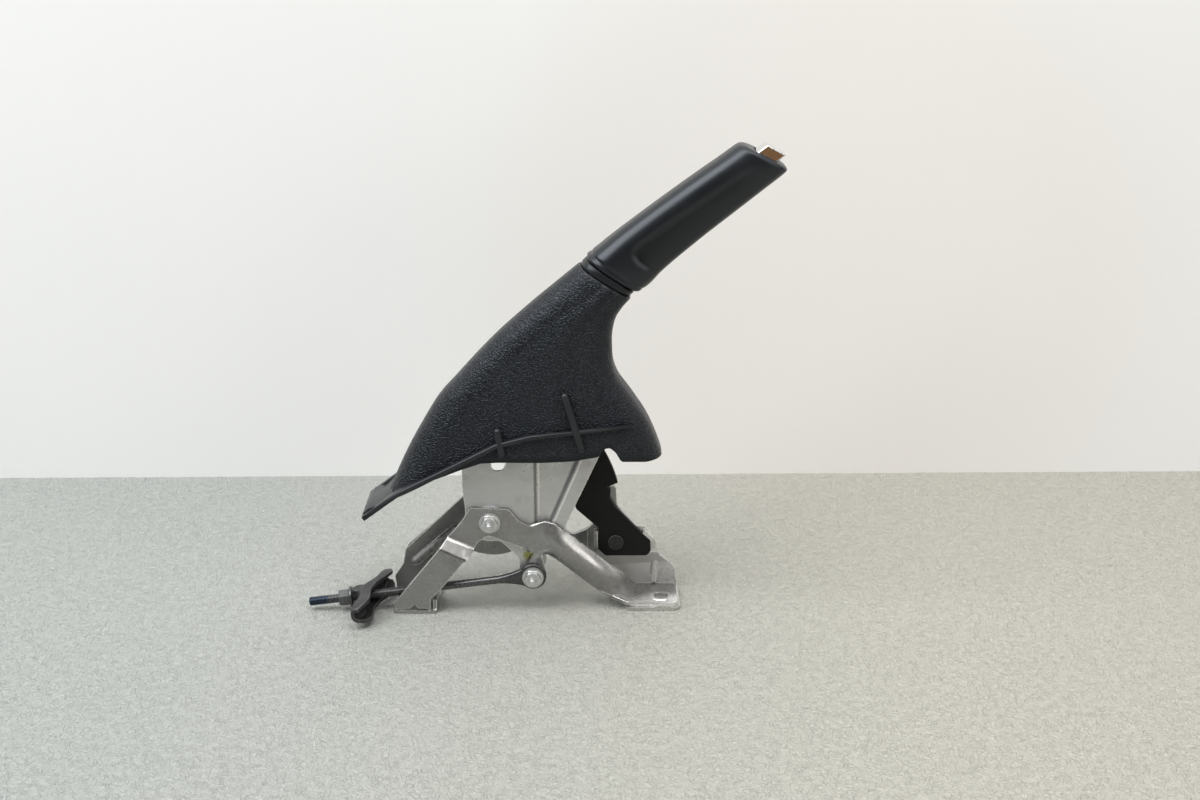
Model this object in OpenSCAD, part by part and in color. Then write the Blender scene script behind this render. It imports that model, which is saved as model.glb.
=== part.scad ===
// Parking brake lever, shown applied. Millimetres.
// X points forward, Y to the far side and Z up.
// Z = 0 is on the floor, and the origin is at the front bolt hole.

/* [Show] */
// piece to draw, or all

/* [Placement] */
// lever pivot, behind the front bolt hole
pivot_back = 114.8;
// lever pivot, above the floor
pivot_h = 62.4;
// middle plane of the lever, beyond the front bolt hole
mid_plane = 6.9;
// rear bolt hole, behind the front bolt hole
rear_back = 166;

/* [Sheet metal] */
// thickness of both brackets
bracket_t = 2.5;
// thickness of the lever channel
lever_t = 2;
// outside width of the lever channel
lever_w = 25;
// depth of the recessed panel in each side of the lever
lever_recess = 1.8;
// thrust washer between lever and bracket
washer_t = 1;
// outward step of the near rear leg
leg_step = 9;
// bulge of the rolled front arm
arm_bulge = 6;
// height of the toes that the near rear leg stands on
toe_h = 1.3;
// bolt holes in the feet
foot_hole_d = 9.3;

/* [Pivot] */
pivot_bolt_d = 9;
pivot_bush_d = 13;
// thread of the pivot and clevis bolts
thread_d = 6;
washer_d = 22;
// radial clearance of shafts that turn
run_gap = 0.05;
// clearance of pieces that only pass each other
pass_gap = 0.3;

/* [Nuts] */
nut_af = 10;
nut_h = 6;
flange_d = 14.2;
flange_t = 1.6;
// bolt point standing out of the nut
point_h = 4.5;

/* [Handle] */
// rise of the handle
grip_angle = 37.3;
// point on the handle axis, ahead of the pivot and above it
axis_x = 131.5;
axis_z = 209.2;
tube_d = 21;
tube_wall = 1.5;
tube_from = -100;
tube_to = 30;
grip_h = 32.4;
grip_w = 31;
// the slanted end of the grip, on the handle axis
grip_end = 56.9;
// slant of the end and of the foot, as run over rise
end_slant = 0.47;
foot_slant = 0.334;
grip_foot = -67.3;
collar_len = 6.4;

/* [Button] */
button_h = 12.3;
button_w = 17;
button_drop = 1.5;
// how far the button stands out
button_out = 7.4;
button_tail = 38;
shank_d = 13;
guide_wall = 3.4;
rod_d = 4;
spring_d = 12;
spring_wire = 1.4;
spring_turns = 10;
seat_from = -20;
seat_len = 8;

/* [Ratchet] */
sector_r = 88;
sector_t = 3.5;
sector_band = 22;
notch_pitch = 3;
notch_depth = 1.8;
first_notch = 37;
last_notch = 70;
// where the pawl meets the sector, about the pivot
nose_angle = 64;
// pawl pin from the nose: along the arc and outward
pawl_along = 11.9;
pawl_out = 10.3;
pawl_arm = 25;
pawl_pin_d = 6;
pawl_hub_d = 11;
hook_d = 3.4;
// height of the pawl nose above the notch tips
nose_lift = 0.3;
// how far the nose drops from there into a notch
nose_drop = 1.1;

/* [Linkage] */
// clevis pin, ahead of the pivot and below it
clevis_x = 28.5;
clevis_drop = 37.5;
eye_d = 18;
eye_t = 5;
eye_gap = 3;
link_shank_d = 5.3;
link_len = 152;
link_thread = 82;
// fall of the pull rod towards the rear
link_fall = 7.2;
// pull rod behind the equaliser
link_tail = 35;
adjuster_h = 9;

/* [Equaliser] */
yoke_len = 63;
yoke_h = 16;
yoke_depth = 11;
yoke_t = 2.5;
yoke_yaw = 14;
yoke_sweep = 5;
// rounding of the channel and the boss that rocks on the nut
yoke_r = 5;
yoke_boss = 10.4;
cable_hole = 4.5;

/* [Shroud] */
shroud_wall = 2.5;
base_half = 21;
neck_half = 17.2;
// rounding of the spine along the side, and the flat left across it
spine_run = 16;
spine_flat = 5;
front_r = 10;
ledge_out = 4.2;
ledge_t = 3.4;
rib_d = 5.2;

/* [Hidden] */
$fn = 48;

// places that follow from the sizes above, in the middle plane of the lever
pv = [-pivot_back, pivot_h];
lever_half = lever_w / 2;
lever_in = lever_half - lever_t;
plate_in = lever_half + washer_t;
plate_out = plate_in + bracket_t;
panel_half = lever_half - lever_recess;
sector_y = rod_d / 2 + pass_gap;
pad_y = sector_y + sector_t;
front_in = 14.5;
clevis = pv + [clevis_x, -clevis_drop];
axis0 = pv + [axis_x, axis_z];
along = [cos(grip_angle), sin(grip_angle)];
across = [-sin(grip_angle), cos(grip_angle)];
out_dir = [cos(nose_angle), sin(nose_angle)];
arc_dir = [-sin(nose_angle), cos(nose_angle)];
pawl_at = pv + sector_r * out_dir + pawl_along * arc_dir + pawl_out * out_dir;
hook_at = pawl_at + pawl_arm * across;
eye_near = -(lever_half + eye_gap + eye_t);
link_y = eye_near + eye_t / 2;
yoke_at = link_len - link_tail;
nut_at = yoke_at + yoke_boss / 2 + pass_gap;
leg_out = plate_out + leg_step;

// plane geometry
function unit(v) = v / norm(v);
function corner(a, p, b, r, n) =
    let (u = unit(a - p), w = unit(b - p), h = acos(u * w) / 2,
         c = p + unit(u + w) * (r / sin(h)), s = p + u * (r / tan(h)), e = p + w * (r / tan(h)),
         a0 = atan2(s[1] - c[1], s[0] - c[0]), d0 = atan2(e[1] - c[1], e[0] - c[0]) - a0,
         d = d0 > 180 ? d0 - 360 : d0 < -180 ? d0 + 360 : d0)
    [for (i = [0:n]) c + r * [cos(a0 + d * i / n), sin(a0 + d * i / n)]];
function flat2(p) = [p[0], p[1]];
// closed outline from points with a corner radius each
function rounded(pts, n = 5) =
    let (k = len(pts))
    [for (i = [0:k - 1])
        each (pts[i][2] == undef || pts[i][2] == 0) ? [flat2(pts[i])] :
            corner(flat2(pts[(i + k - 1) % k]), flat2(pts[i]), flat2(pts[(i + 1) % k]), pts[i][2], n)];
// open path from points with a corner radius each
function bent(pts, n = 4) =
    let (k = len(pts))
    [for (i = [0:k - 1])
        each (i == 0 || i == k - 1 || pts[i][2] == undef) ? [flat2(pts[i])] :
            corner(flat2(pts[i - 1]), flat2(pts[i]), flat2(pts[i + 1]), pts[i][2], n)];
function offset_path(p, d) =
    [for (i = [0:len(p) - 1])
        let (u = unit(p[min(i + 1, len(p) - 1)] - p[min(i, len(p) - 2)]),
             w = unit(p[max(i, 1)] - p[max(i - 1, 0)]),
             nu = [-u[1], u[0]], nw = [-w[1], w[0]], m = unit(nu + nw))
        p[i] + m * (d / (m * nu))];
function back(p) = [for (i = [len(p) - 1:-1:0]) p[i]];
// sheet of thickness t on the left of a path
function sheet(p, t) = concat(p, back(offset_path(p, t)));
function spline(p, n) =
    concat([for (i = [0:len(p) - 2])
        let (a = p[max(i - 1, 0)], b = p[i], c = p[i + 1], d = p[min(i + 2, len(p) - 1)])
        for (k = [0:n - 1])
            let (t = k / n)
            0.5 * (2 * b + (c - a) * t + (2 * a - 5 * b + 4 * c - d) * t * t
                   + (3 * b - a - 3 * c + d) * t * t * t)],
        [p[len(p) - 1]]);
function arc(c, r, a, b, n) = [for (i = [0:n]) c + r * [cos(a + (b - a) * i / n), sin(a + (b - a) * i / n)]];
function shift(pts, d) =
    [for (p = pts) p[2] == undef ? [p[0] + d[0], p[1] + d[1]] : [p[0] + d[0], p[1] + d[1], p[2]]];

// solids
module slab(y0, y1) {
    translate([0, y1, 0]) rotate([90, 0, 0]) linear_extrude(y1 - y0) children();
}
module pin(at, d, y0, y1) {
    translate([at[0], y1, at[1]]) rotate([90, 0, 0]) cylinder(d = d, h = y1 - y0);
}
// closed skin over rings with the same number of points
module skin(rings) {
    n = len(rings);
    m = len(rings[0]);
    points = [for (r = rings) each r];
    sides = [for (i = [0:n - 2]) for (j = [0:m - 1])
        each [[i * m + j, (i + 1) * m + j, i * m + (j + 1) % m],
              [i * m + (j + 1) % m, (i + 1) * m + j, (i + 1) * m + (j + 1) % m]]];
    low = [[for (j = [0:m - 1]) j]];
    top = [[for (j = [0:m - 1]) (n - 1) * m + m - 1 - j]];
    polyhedron(points, concat(sides, low, top));
}
// closed skin over rings of a sheet: each ring runs along one face and back along the other
module sheet_skin(rings) {
    n = len(rings);
    m = len(rings[0]);
    points = [for (r = rings) each r];
    sides = [for (i = [0:n - 2]) for (j = [0:m - 1])
        each [[i * m + j, (i + 1) * m + j, i * m + (j + 1) % m],
              [i * m + (j + 1) % m, (i + 1) * m + j, (i + 1) * m + (j + 1) % m]]];
    e = (n - 1) * m;
    ends = [for (j = [0:m / 2 - 2])
        each [[j, j + 1, m - 1 - j], [j + 1, m - 2 - j, m - 1 - j],
              [e + j + 1, e + j, e + m - 1 - j], [e + m - 2 - j, e + j + 1, e + m - 1 - j]]];
    polyhedron(points, concat(sides, ends));
}
// everything is drawn about the middle plane of the lever and then put in place
module in_place() {
    translate([0, mid_plane, 0]) children();
}
// handle frame: X along the handle, Z across it
module on_handle() {
    translate([axis0[0], 0, axis0[1]]) rotate([0, -grip_angle, 0]) children();
}
// pull rod frame: X along the rod from the clevis pin to the rear, Z up
module on_link() {
    translate([clevis[0], link_y, clevis[1]]) rotate([0, -link_fall, 0]) mirror([1, 0, 0]) children();
}
module hex(af, h) {
    cylinder(d = af / cos(30), h = h, $fn = 6);
}
// flange nut on Y, its seat at y and the hexagon towards the viewer
module flange_nut(at, y) {
    difference() {
        union() {
            translate([at[0], y, at[1]]) rotate([90, 0, 0]) {
                cylinder(d = flange_d, h = flange_t);
                translate([0, 0, flange_t]) cylinder(d1 = flange_d - 1, d2 = nut_af + 0.6, h = 0.8);
                intersection() {
                    hex(nut_af, nut_h);
                    union() {
                        cylinder(d = nut_af / cos(30), h = nut_h - 0.7);
                        translate([0, 0, nut_h - 0.7])
                            cylinder(d1 = nut_af / cos(30), d2 = nut_af - 0.4, h = 0.7);
                    }
                }
            }
        }
        pin(at, thread_d, y - nut_h - 1, y + 1);
    }
}
// point of a bolt that stands out of its nut
module bolt_point(at, y) {
    pin(at, thread_d - 0.7, y - 1.5, y);
    pin(at, thread_d - 2, y - point_h + 0.5, y - 1.5);
    translate([at[0], y - point_h + 0.5, at[1]]) rotate([90, 0, 0])
        cylinder(d1 = thread_d - 2, d2 = thread_d - 3, h = 0.5);
}

// far bracket
far_edge = pv + [60, 0];
module far_bracket_outline() {
    polygon(rounded(concat(
        shift([[-14, 13, 6], [12, 13, 6], [24, 4, 10], [42, -11, 8], [55, -21.5, 4], [63, -15, 4],
               [69, -9, 3], [69, 17, 3], [84.5, 18, 3], [85, 4, 4]], pv),
        [[-18, 51, 2], [-11, 51, 3], [-3.6, 41, 3], [-0.5, 29, 4], [10, 17, 3], [12, 0], [-27, 0],
         [-28, 4, 3], [-44, 16, 5]],
        shift([[56, -31, 10], [40, -29, 5], [29, -23.5, 6]], pv),
        shift(arc([0, 0], 36, -50, -112, 8), pv),
        [[-rear_back + 14, 9, 4], [-rear_back + 14, 0], [-rear_back - 16, 0], [-rear_back - 17, 11, 2],
         [-rear_back - 11, 20, 3], [-rear_back - 9, 31, 2]])));
}
// plan of the far plate: level at the pivot, then stepped towards the lever for the sector
module far_plan() {
    x = pv[0];
    path = bent([[x - 90, plate_in], [x + 57, plate_in, 4], [x + 65, pad_y, 4], [x + 150, pad_y]]);
    polygon(sheet(path, bracket_t));
}
// end view of the sector pad: it leans back to the foot
module pad_end() {
    polygon(sheet(bent([[pad_y, 100], [pad_y, 32, 4], [front_in, 20, 4], [front_in, 0]]), bracket_t));
}
module far_bracket() {
    color([0.55, 0.55, 0.54])
    in_place() difference() {
        union() {
            // pivot plate and rear leg
            intersection() {
                slab(-1, 40) far_bracket_outline();
                linear_extrude(120) far_plan();
                translate([-400 + pv[0] + 70, -50, -1]) cube([400, 100, 200]);
                union() {
                    translate([-400 + pv[0] + 54, -50, -1]) cube([400, 100, 200]);
                    translate([pv[0] + 53, -50, 30]) cube([20, 100, 100]);
                }
            }
            // sector pad and front wall
            intersection() {
                slab(-1, 40) far_bracket_outline();
                translate([pv[0] + 65, 0, 0]) rotate([90, 0, 90]) linear_extrude(85) pad_end();
            }
            // lugs that hold the sector
            translate([pv[0] + 69.4, sector_y - 1, 37]) cube([bracket_t, sector_t + 1.5, 12]);
            translate([-12.7, sector_y - 1, 47.5]) rotate([0, 44, 0]) cube([9, sector_t + 1.5, bracket_t]);
            // front foot
            translate([0, 0, 0]) linear_extrude(bracket_t)
                polygon(rounded([[-27, front_in + bracket_t], [-24, -mid_plane - 13, 3],
                                 [13, -mid_plane - 12.6, 5], [12, front_in + bracket_t]]));
            // rear foot and its upturned lip
            linear_extrude(bracket_t)
                polygon(rounded([[-rear_back - 14, plate_out], [-rear_back - 14, -leg_out, 2],
                                 [-rear_back + 15, -leg_out, 2], [-rear_back + 15, plate_out]]));
            translate([-rear_back + 15 - bracket_t, -leg_out + 2, 0]) cube([bracket_t, 22, 9.5]);
            // upper edge of the rear leg, turned outward
            intersection() {
                translate([-rear_back - 9, plate_out - 1, 31]) rotate([0, -41.3, 0])
                    translate([2, 0, -2.2]) cube([46, 5, 2.2]);
                slab(-1, 60) polygon([[-180, 20], [-120, 20], [-120, 80], [-180, 80]]);
            }
            // bead in the rear leg and in the front wall
            translate([-rear_back - 2, plate_in + 0.3, 22]) rotate([0, 90 - 41.3, 0])
                capsule(6, 36);
            translate([-4, front_in + 0.3, 2 * bracket_t + 2.8]) capsule(5, 14.5);
        }
        pin(pv, pivot_bolt_d, -1, 60);
        pin(rivet_at, thread_d, -1, 60);
        translate([0, -mid_plane, -1]) cylinder(d = foot_hole_d, h = 20);
        translate([-rear_back, -mid_plane, -1]) cylinder(d = foot_hole_d, h = 5);
    }
}
// bar with round ends, along Z
module capsule(d, h) {
    cylinder(d = d, h = h);
    sphere(d = d);
    translate([0, 0, h]) sphere(d = d);
}

// near bracket
module near_plate_outline() {
    polygon(rounded(concat(
        shift([[-13, 10.4, 2.5], [12.5, 9.4, 3], [19.5, 1, 6], [28, -3.4, 6], [36.5, 1, 1.5],
               [34, -23, 2], [27, -21.6, 6], [19.5, -17.5, 6], [5.4, -12.2, 4], [-1, -9.5, 5],
               [-8, -14, 6], [-12.6, -22, 3], [-18.5, -26.5, 6]], pv),
        [[-rear_back + 16, 15, 4], [-rear_back + 11, 11, 3], [-rear_back + 11, bracket_t],
         [-rear_back + 9.4, bracket_t], [-rear_back + 9, bracket_t + toe_h],
         [-rear_back + 2.5, bracket_t + toe_h], [-rear_back, bracket_t + toe_h + 3.2, 1],
         [-rear_back - 2.5, bracket_t + toe_h], [-rear_back - 10.6, bracket_t + toe_h],
         [-rear_back - 11, bracket_t], [-rear_back - 12.6, bracket_t], [-rear_back - 12.6, 9, 4]],
        shift([[-34.5, -17, 8], [-23, -4.5, 4], [-18, 2, 6]], pv))));
}
// section across the crease of the rear leg
module leg_section() {
    path = bent([[90, -leg_out], [7, -leg_out, 3], [0, -plate_out, 3], [-90, -plate_out]]);
    polygon(sheet(path, -bracket_t));
}
// ring of the rolled arm: upper edge a, lower edge b, bulge h towards d, sheet t behind it
function arm_ring(a, b, h, d, t) =
    let (k = 8, o = [for (i = [0:k]) a + (b - a) * (i / k) + unit(d) * (h * 4 * (i / k) * (1 - i / k))])
    concat(o, back([for (p = o) p - unit(d) * t]));
function at3(p, y) = [p[0], y, p[1]];
module near_arm() {
    n = -plate_out;
    t = bracket_t;
    near = -mid_plane - 12.6;
    sheet_skin([
        arm_ring(at3(pv + [26, -2.5], n + 0.2), at3(pv + [22, -19.2], n + 0.2), 0, [0, -1, 0], t - 0.4),
        arm_ring(at3(pv + [36.3, 0.8], n - 0.15), at3(pv + [32, -23.2], n - 0.15), 1.2, [0, -1, 0], t),
        arm_ring(at3(pv + [43, -1], n), at3(pv + [38.5, -23], n), arm_bulge * 0.62, [0, -1, 0], t),
        arm_ring(at3(pv + [50, -6.5], n), at3(pv + [44, -26.5], n), arm_bulge * 0.92, [0, -1, 0.06], t),
        arm_ring(at3(pv + [58, -12.7], n), at3(pv + [51, -32], n), arm_bulge, [0, -1, 0.12], t),
        arm_ring(at3(pv + [67, -19.8], n + 0.6), at3(pv + [59, -38.6], n), arm_bulge, [0.05, -1, 0.2], t),
        arm_ring(at3(pv + [75, -26.6], n + 2), at3(pv + [67, -45], n - 0.5), arm_bulge, [0.1, -1, 0.34], t),
        arm_ring(at3(pv + [82, -33.2], n + 6), at3(pv + [74, -49.4], n - 1), arm_bulge * 0.9,
                 [0.16, -1, 0.55], t),
        arm_ring(at3(pv + [88, -40.5], n + 13), at3(pv + [79.5, -51.6], n - 1.8), arm_bulge * 0.66,
                 [0.24, -0.8, 0.9], t),
        arm_ring(at3(pv + [92, -47.5], n + 21), at3(pv + [85, -53.6], n - 2.6), arm_bulge * 0.36,
                 [0.28, -0.4, 1], t),
        arm_ring([pv[0] + 96, n + 27, 2 * t + 2.4], [pv[0] + 91, near + 0.4, 2 * t + 1.2], 1, [0.2, 0, 1], t),
        arm_ring([-15, front_in - 0.7, 2 * t - 0.1], [-17, near + 0.4, 2 * t - 0.1], 0, [0, 0, 1], t - 0.2)]);
}
module near_bracket() {
    color([0.6, 0.6, 0.59])
    in_place() difference() {
        union() {
            intersection() {
                slab(-60, -1) near_plate_outline();
                translate([pv[0] - 20, 0, pv[1] - 14]) rotate([0, 115.8, 0])
                    translate([0, 0, -80]) linear_extrude(160) leg_section();
            }
            near_arm();
            // front foot tab with the raised ring about the hole
            translate([0, 0, bracket_t]) linear_extrude(bracket_t)
                polygon(rounded([[-17.2, front_in - 0.4, 2], [-17.4, -mid_plane - 12.6, 1],
                                 [-8, -mid_plane - 11.2, 3], [-3, -mid_plane - 12.6, 3],
                                 [11.5, -mid_plane - 12.6, 6], [11.5, front_in - 0.4, 4]]));
            translate([0, -mid_plane, 2 * bracket_t - 0.1]) cylinder(d1 = 15.6, d2 = 14.6, h = 0.5);
        }
        pin(pv, thread_d + 2 * run_gap, -60, 0);
        translate([0, -mid_plane, -1]) cylinder(d = foot_hole_d, h = 20);
    }
}

// ratchet sector
rivet_at = pv + [84, -21.6];
// the nose swings along the arc as it drops, so the notches lie that much further on
notch_at = nose_angle + nose_drop * pawl_out / pawl_along / sector_r * 180 / PI;
function notches() =
    let (from = notch_at - notch_pitch * floor((nose_angle - first_notch) / notch_pitch))
    [for (a = [from:notch_pitch:last_notch])
        each [pv + sector_r * [cos(a - 1.05), sin(a - 1.05)],
              pv + (sector_r - notch_depth) * [cos(a - 0.4), sin(a - 0.4)],
              pv + (sector_r - notch_depth) * [cos(a + 0.4), sin(a + 0.4)],
              pv + sector_r * [cos(a + 1.05), sin(a + 1.05)]]];
module ratchet_sector() {
    color([0.06, 0.06, 0.065])
    in_place() difference() {
        slab(sector_y, pad_y) polygon(concat(
            arc(pv, sector_r, 14, first_notch - 1, 12), notches(),
            arc(pv, sector_r, last_notch + 2.2, last_notch + 3, 2),
            arc(pv, sector_r - sector_band, last_notch + 3, 24, 12),
            rounded(shift([[58.5, 18], [56.5, 3, 4], [72.4, -11.5, 3], [72.2, -27, 3], [77, -31.7, 3],
                           [105.5, -31.7, 3], [108, -28, 2], [107.6, -21, 3], [96, -9],
                           [83.5, 4.5, 5], [80, 10, 5], [81, 18, 2.5]], pv))));
        pin(rivet_at, thread_d, -1, 40);
    }
}
module sector_rivet() {
    color([0.08, 0.08, 0.085])
    in_place() {
        pin(rivet_at, thread_d, sector_y - 0.1, pad_y + bracket_t + 0.1);
        pin(rivet_at, thread_d + 4.4, sector_y - 1.4, sector_y);
        pin(rivet_at, thread_d + 4, pad_y + bracket_t, pad_y + bracket_t + 1.6);
    }
}

// pivot
module pivot_bolt() {
    color([0.72, 0.73, 0.74])
    in_place() {
        pin(pv, pivot_bolt_d, -plate_in, plate_out);
        pin(pv, thread_d, -plate_out - nut_h, -plate_in);
        bolt_point(pv, -plate_out - nut_h);
        pin(pv, flange_d + 3, plate_out, plate_out + flange_t);
        translate([pv[0], plate_out + flange_t, pv[1]]) rotate([-90, 0, 0]) hex(nut_af + 3, nut_h - 2);
    }
}
module pivot_nut() {
    color([0.8, 0.8, 0.8]) in_place() flange_nut(pv, -plate_out);
}
module washer(y) {
    difference() {
        pin(pv, washer_d, y, y + washer_t - 0.1);
        pin(pv, pivot_bolt_d + 2 * run_gap, y - 1, y + washer_t + 1);
    }
}
module pivot_washer_near() {
    color([0.85, 0.83, 0.75]) in_place() washer(-plate_in);
}
module pivot_washer_far() {
    color([0.85, 0.83, 0.75]) in_place() washer(plate_in - washer_t + 0.1);
}
module pivot_bush() {
    color([0.6, 0.5, 0.3])
    in_place() difference() {
        pin(pv, pivot_bush_d, -lever_half, lever_half);
        pin(pv, pivot_bolt_d + 2 * run_gap, -lever_half - 1, lever_half + 1);
    }
}

// lever channel
back_edge = spline(shift([[-18, 36], [-20.5, 50], [-22.2, 66], [-23, 80], [-14.6, 92.8], [-1, 106.5],
                          [12, 120.8], [26, 133.5], [45, 149.6]], pv), 3);
front_edge = shift([[49.4, -6], [73.1, 45.9], [75.5, 62, 12], [73, 90, 15], [72, 120, 15], [75, 139, 8]], pv);
module lever_outline() {
    polygon(rounded(concat(
        [for (p = back_edge) p],
        [concat(axis0 - 87 * along + 7 * across, 3), concat(axis0 - 80 * along - 13 * across, 5)],
        back(front_edge),
        shift([[44, -9.5, 3], [33, -14, 8]], pv),
        [concat(clevis + [7.5, 4.5], 0)],
        arc(clevis, 8.5, 18, -172, 10),
        shift([[19, -27, 7], [7, -15, 5], [-8, -14, 7], [-17, -8, 7], [-16.5, 8, 10], [-18.3, 25, 6]], pv))));
}
// plan of one side: level, stepped in behind the step line
module side_plan() {
    x = pv[0] + 30.2;
    path = bent([[x - 120, lever_in], [x, lever_in, 1], [x + 2.4, lever_in - lever_recess, lever_t + 0.6],
                 [x + 120, lever_in - lever_recess]]);
    polygon(sheet(path, lever_t));
}
// section of the band along the rim: it comes out again to the full width
module band_section() {
    path = bent([[-3, lever_in - lever_recess], [0, lever_in - lever_recess, lever_t + 1],
                 [4, lever_in, 1], [40, lever_in]]);
    polygon(sheet(path, lever_t));
}
module on_rim() {
    translate([pv[0] + 39.4, 0, pv[1] + 0.8]) rotate([0, 90 - 67.3, 0]) children();
}
// above this height the sides are level again, for the tube
panel_top = pv[1] + 62;
module lever_side() {
    intersection() {
        slab(-1, lever_half + 1) lever_outline();
        union() {
            // lower part, stepped in behind the step line and cut off where the band starts
            difference() {
                linear_extrude(panel_top) side_plan();
                on_rim() translate([-2, -1, -60]) cube([80, 40, 160]);
            }
            // the raised band
            intersection() {
                on_rim() translate([0, 0, -60]) linear_extrude(160) band_section();
                translate([pv[0], 0, 0]) cube([150, 40, panel_top]);
            }
            // upper part, a little thinner
            translate([pv[0] - 60, lever_in + 0.1, panel_top - 0.5]) cube([200, lever_t - 0.2, 200]);
            // step between the recessed panel and the upper part
            difference() {
                translate([pv[0] + 31, panel_half - lever_t - 0.3, panel_top - 2.3])
                    cube([60, lever_recess + lever_t + 0.2, 2.7]);
                on_rim() translate([1.5, -1, -60]) cube([80, 40, 160]);
            }
        }
    }
}
module lever_channel() {
    color([0.58, 0.57, 0.56])
    in_place() difference() {
        union() {
            lever_side();
            mirror([0, 1, 0]) lever_side();
            // back of the channel
            slab(-lever_half, lever_half)
                polygon(sheet([for (i = [3:len(back_edge) - 1]) back_edge[i]], -lever_t));
            // dished seats about the pivot
            pin(pv, 30, lever_in, lever_half);
            pin(pv, 30, -lever_half, -lever_in);
        }
        pin(pv, pivot_bush_d, -60, 60);
        pin(clevis, thread_d, -60, 60);
        pin(pawl_at, pawl_pin_d, -60, 60);
        // window in the near side and a longer one in the far side
        slab(-40, 0) polygon(rounded(shift([[0.5, 46, 4], [13.5, 46, 4], [9, 35.5, 3], [2, 35, 3]], pv)));
        slab(0, 40) polygon(rounded(shift([[-1, 46, 4], [15, 46, 4], [12.5, 24, 4], [0, 24, 4]], pv)));
    }
}
module lever_tube() {
    color([0.5, 0.5, 0.5])
    in_place() on_handle() rotate([0, 90, 0]) difference() {
        translate([0, 0, tube_from]) cylinder(d = tube_d, h = tube_to - tube_from);
        translate([0, 0, tube_from - 1]) cylinder(d = tube_d - 2 * tube_wall, h = tube_to - tube_from + 2);
    }
}
module spring_seat() {
    color([0.75, 0.75, 0.72])
    in_place() on_handle() rotate([0, 90, 0]) translate([0, 0, seat_from]) difference() {
        cylinder(d = tube_d - 2 * tube_wall, h = seat_len);
        translate([0, 0, -1]) cylinder(d = rod_d + 2 * pass_gap, h = seat_len + 2);
    }
}
module pawl_pin() {
    color([0.65, 0.65, 0.66])
    in_place() {
        pin(pawl_at, pawl_pin_d, -lever_half, lever_half);
        pin(pawl_at, pawl_pin_d + 2.5, lever_half, lever_half + 1);
        pin(pawl_at, pawl_pin_d + 2.5, -lever_half - 1, -lever_half);
    }
}
module clevis_bolt() {
    color([0.72, 0.73, 0.74])
    in_place() {
        pin(clevis, thread_d, eye_near - nut_h, lever_half);
        bolt_point(clevis, eye_near - nut_h);
        pin(clevis, flange_d, lever_half, lever_half + flange_t);
        translate([clevis[0], lever_half + flange_t, clevis[1]]) rotate([-90, 0, 0]) hex(nut_af, 3);
    }
}
module clevis_nut() {
    color([0.8, 0.8, 0.8]) in_place() flange_nut(clevis, eye_near - 0.1);
}
module clevis_spacer() {
    color([0.7, 0.7, 0.7])
    in_place() difference() {
        pin(clevis, thread_d + 5, -lever_half - eye_gap + 0.1, -lever_half);
        pin(clevis, thread_d, -60, 0);
    }
}

// shroud
spine = shift([[-75, -2], [-67.6, 18.2], [-55.4, 45.2], [-44.9, 64.4], [-33.2, 83.5], [-21.7, 96.6],
               [-7.5, 112.4], [6.5, 126.8], [20.4, 139.5], [34.2, 151.5], [59.5, 172.5]], pv);
front = shift([[117, 28], [114.4, 45.2], [105.8, 67.4], [95.3, 84.2], [85.5, 98.1], [82, 108.1],
               [81.3, 118.2], [81.3, 128.2], [83.3, 138.1], [87.4, 145.2], [92.8, 151.5]], pv);
function half_at(t) = base_half + (neck_half - base_half) * t;
// section of the shroud from spine point s to front point f, w half wide: elliptic spine, round front
function shroud_ring(s, f, w, rs, rf) =
    let (u = unit(f - s), l = norm(f - s), k = 5, c = spine_flat,
         a = [for (i = [0:k]) [rs - rs * cos(90 * i / k), c + (w - c) * sin(90 * i / k)]],
         m = [for (i = [1:4]) [rs + (l - rs - rf) * i / 5, w + 1.2 * sin(180 * i / 5)]],
         b = [for (i = [0:k]) [l - rf + rf * sin(90 * i / k), w - rf + rf * cos(90 * i / k)]],
         half = concat(a, m, b), all = concat(half, [for (p = back(half)) [p[0], -p[1]]]))
    [for (p = all) [s[0] + u[0] * p[0], p[1], s[1] + u[1] * p[0]]];
function shroud_rings(inset, n) =
    let (s = spline(spine, n), f = spline(front, n), e = len(s) - 1)
    [for (i = [0:e])
        let (u = unit(f[i] - s[i]), t = i / e)
        shroud_ring(s[i] + u * inset * 1.25, f[i] - u * inset * 1.15, half_at(t) - inset, spine_run - inset,
                    front_r - inset)];
ledge = bent(shift([[-84, 7.2], [-61.8, 23.7, 40], [5.3, 58.2, 25], [27.3, 63.9, 40], [92.2, 71.2]], pv));
module skirt_cut() {
    polygon(concat(
        shift([[-120, -10], [-86, 6.2]], pv),
        spline(shift([[-81.7, 7.2], [-54, 22.1], [-35.7, 31.8], [-17.5, 39.1], [-5, 43.5], [6.1, 44.3],
                      [33.7, 44.3], [54.4, 45.1]], pv), 3),
        rounded(shift([[72.3, 48], [77.2, 54.5, 3], [81, 53.6, 4], [85.5, 49, 3], [87.5, 44], [103, 44.6],
                       [113, 45.6], [130, 47], [130, -30], [-120, -30]], pv))));
}
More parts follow.
